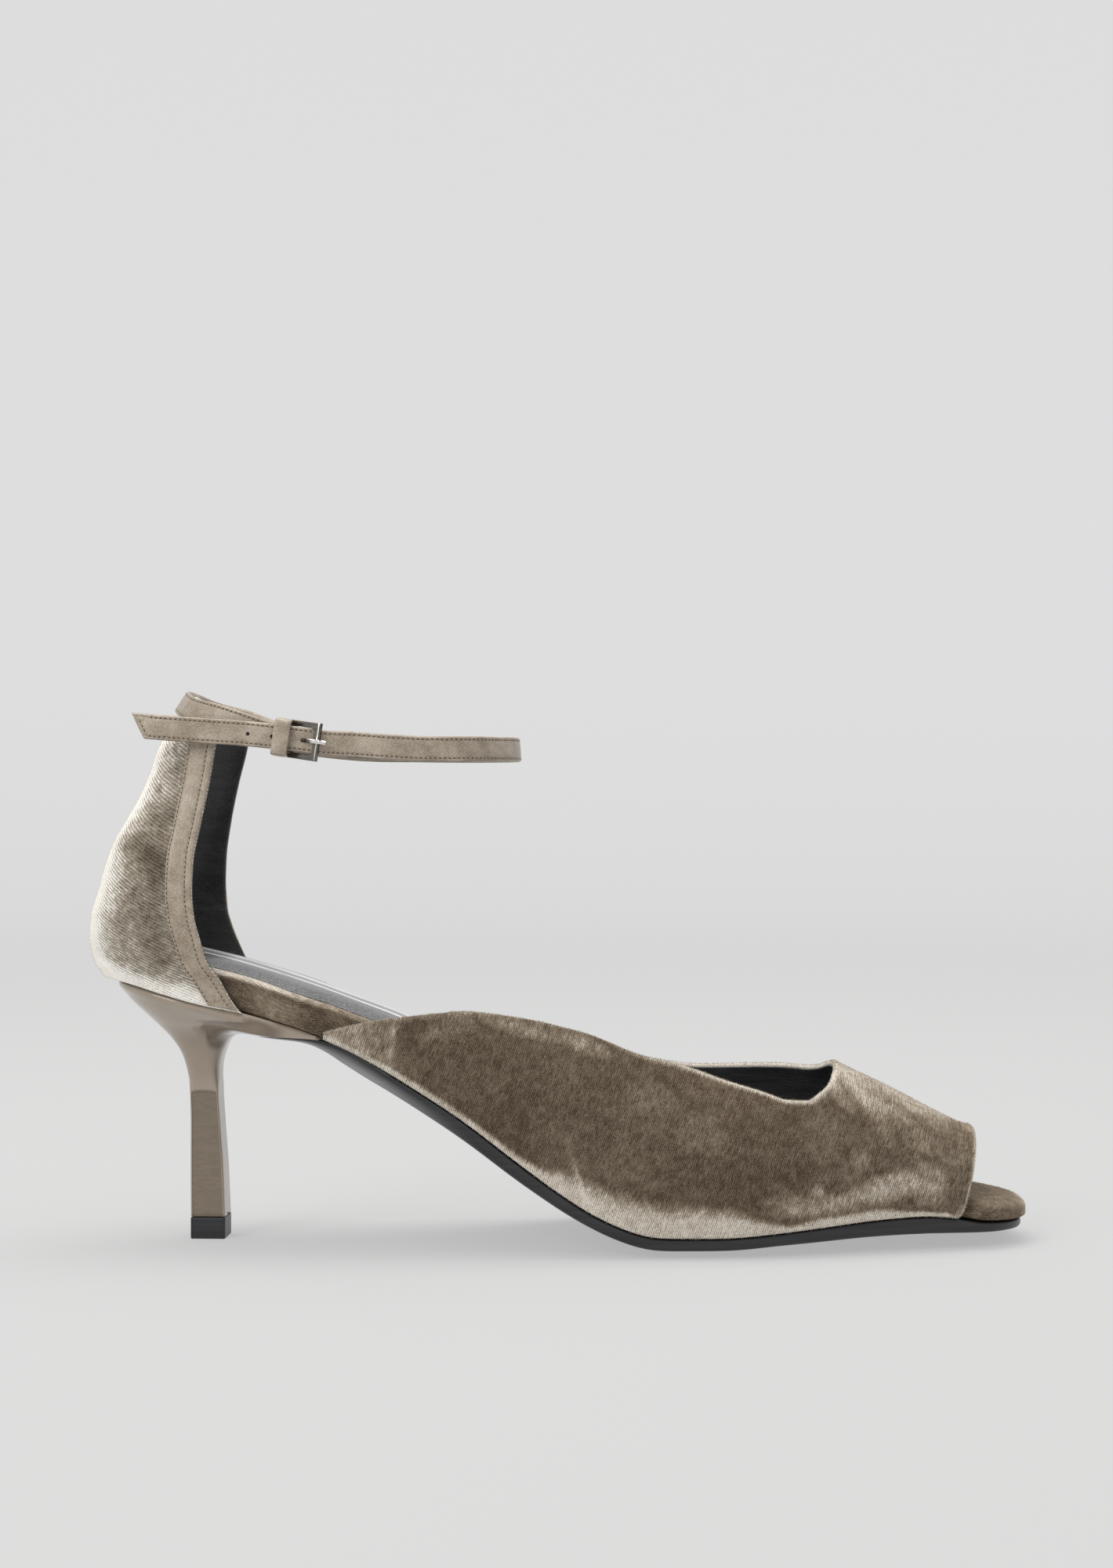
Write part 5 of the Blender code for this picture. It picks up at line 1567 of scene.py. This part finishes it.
# Keeper: a fixed loop of the same leather behind the buckle, round both layers of the strap.
# It is folded and a little padded, so its outer face is crowned across its width.
KEEPER_LENGTH = 0.0042
KEEPER_HALF = 0.0005
BUCKLE_TILT = math.radians(8.6)
inner = -STRAP_SPREAD + 0.0012 + half + GAP
outer = -STRAP_SPREAD - 0.0001 - 1.5 * STRAP_THICKNESS - 5 * GAP
about = np.linspace(0, 2 * math.pi, 97)[:-1]
path_y = ((inner - outer) / 2 + KEEPER_HALF) * squared(np.cos(about), 5.0)
path_z = (STRAP_WIDTH / 2 + 2 * GAP + KEEPER_HALF) * squared(np.sin(about), 9.0)
path = np.stack((path_y, path_z), axis=1)
flow = unit(np.roll(path, -1, axis=0) - np.roll(path, 1, axis=0))
across = np.stack((flow[:, 1], -flow[:, 0]), axis=1)
ring = np.linspace(0, 2 * math.pi, 29)[:-1]
wide = KEEPER_LENGTH / 2 * squared(np.cos(ring), 6.0)
thick = KEEPER_HALF * squared(np.sin(ring), 2.6)
thick = thick + 0.12 * MM * (1 - (wide / (KEEPER_LENGTH / 2)) ** 2) * (thick > 0)
run = np.array((math.cos(BUCKLE_TILT), 0, -math.sin(BUCKLE_TILT)))
rise = np.array((math.sin(BUCKLE_TILT), 0, math.cos(BUCKLE_TILT)))
side = np.array((0, 1, 0))
centre = np.array((bar[0] - 0.0033, (inner + outer) / 2, bar[2] + 0.0004))
section = path[:, None] + across[:, None] * thick[None, :, None]
points = centre + section[..., :1] * side + section[..., 1:] * rise + wide[None, :, None] * run
points = np.concatenate((points, points[:1]))
keeper = skin("keeper_loop", points, [beige_leather], rolled=True)
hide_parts("keeper")
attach(keeper, "root")


# Buckle: a small rectangular frame of gunmetal with a squarish section and softened edges; a thin
# bright rod on its front bar and the prong's bright tip are a painted highlight.
# Its prong is hooked round the rear bar, comes out through the strap's hole and rests on the front bar.
FRAME_MIDDLE = 2.75
FRAME_HALF = (4.25, 4.95)
WINDOW_REAR, WINDOW_FRONT, WINDOW_HALF = 0.2, 4.7, 3.4
FRAME_SECTION = (
    # share of the way from the frame's outline to its window, height over its middle in mm
    (0.0, -0.45),
    (0.0, 0.32),
    (0.07, 0.45),
    (0.86, 0.45),
    (1.0, 0.34),
    (1.0, -0.45),
)
gunmetal, wire, here = new_finish("gunmetal")
scratch = wire.noise(wire.stretched(here, (300, 300, 2600)), 1.0, 3)
lay_on(wire, {
    "Base Color": scratch.mix(colour(84, 80, 76), colour(128, 123, 117)),
    "Roughness": 0.12 + 0.14 * scratch,
    "Metallic": 1.0,
    "Normal": scratch.bump(0.01 * MM),
})
front_y = -STRAP_SPREAD - 0.0011 - half - GAP - BUCKLE_BAR / 2
flow = unit(run * 7.0 * MM + side * (front_y - bar[1]))
face = unit(np.cross(rise, flow))
face *= -np.sign(face[1])
corners = np.array(((-1, -1), (1, -1), (1, 1), (-1, 1)))
outline = corners * FRAME_HALF + (FRAME_MIDDLE, 0)
window_x = np.where(corners[:, 0] > 0, WINDOW_FRONT, WINDOW_REAR)
window = np.stack((window_x, corners[:, 1] * WINDOW_HALF), axis=1)
section = []
for share, deep in FRAME_SECTION:
    ring = outline + (window - outline) * share
    section.append(np.concatenate((ring, np.full((4, 1), deep)), axis=1))
section = np.swapaxes(np.array(section), 0, 1) * MM
points = bar + section[..., :1] * flow + section[..., 1:2] * rise + section[..., 2:] * face
points = np.concatenate((points, points[:1]))
buckle = skin("buckle", points, [gunmetal], rolled=True)
buckle.data.shade_flat()
soften = buckle.modifiers.new("Soft edge", "BEVEL")
soften.width = 0.06 * MM
soften.segments = 2
soften.limit_method = "ANGLE"
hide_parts("buckle_frame")
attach(buckle, "root")
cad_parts["buckle_prong"].data.materials.clear()
steel_and_highlight, wire, here = new_finish("steel with painted highlight")
shine = wire.noise(here, 900, 2)
# Painted highlight: everything past the front bar's line is painted bright.
painted_highlight = wire.axis(here, 0).step(0.0288, 0.0300)
lay_on(wire, {
    "Base Color": painted_highlight.mix(colour(96, 91, 85), colour(226, 223, 218)),
    "Roughness": 0.10 + 0.12 * shine,
    "Metallic": 1.0,
})
# Painted highlight: a thin bright rod along the front bar's edge.
front = bar + flow * (6.35 * MM) + face * (0.47 * MM)
line = np.array([front + rise * (high * MM) for high in (-4.85, 4.85)])
turn = np.linspace(0, 2 * math.pi, 13)[:-1, None]
tube = np.cos(turn) * flow * (0.20 * MM) + np.sin(turn) * face * (0.10 * MM)
highlight_points = np.stack((line[:1] + 0 * tube, line[:1] + tube, line[1:] + tube, line[1:] + 0 * tube))
edge_highlight = skin("buckle_edge_highlight", highlight_points, [steel_and_highlight], rolled=True)
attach(edge_highlight, "root")
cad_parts["buckle_prong"].data.materials.append(steel_and_highlight)
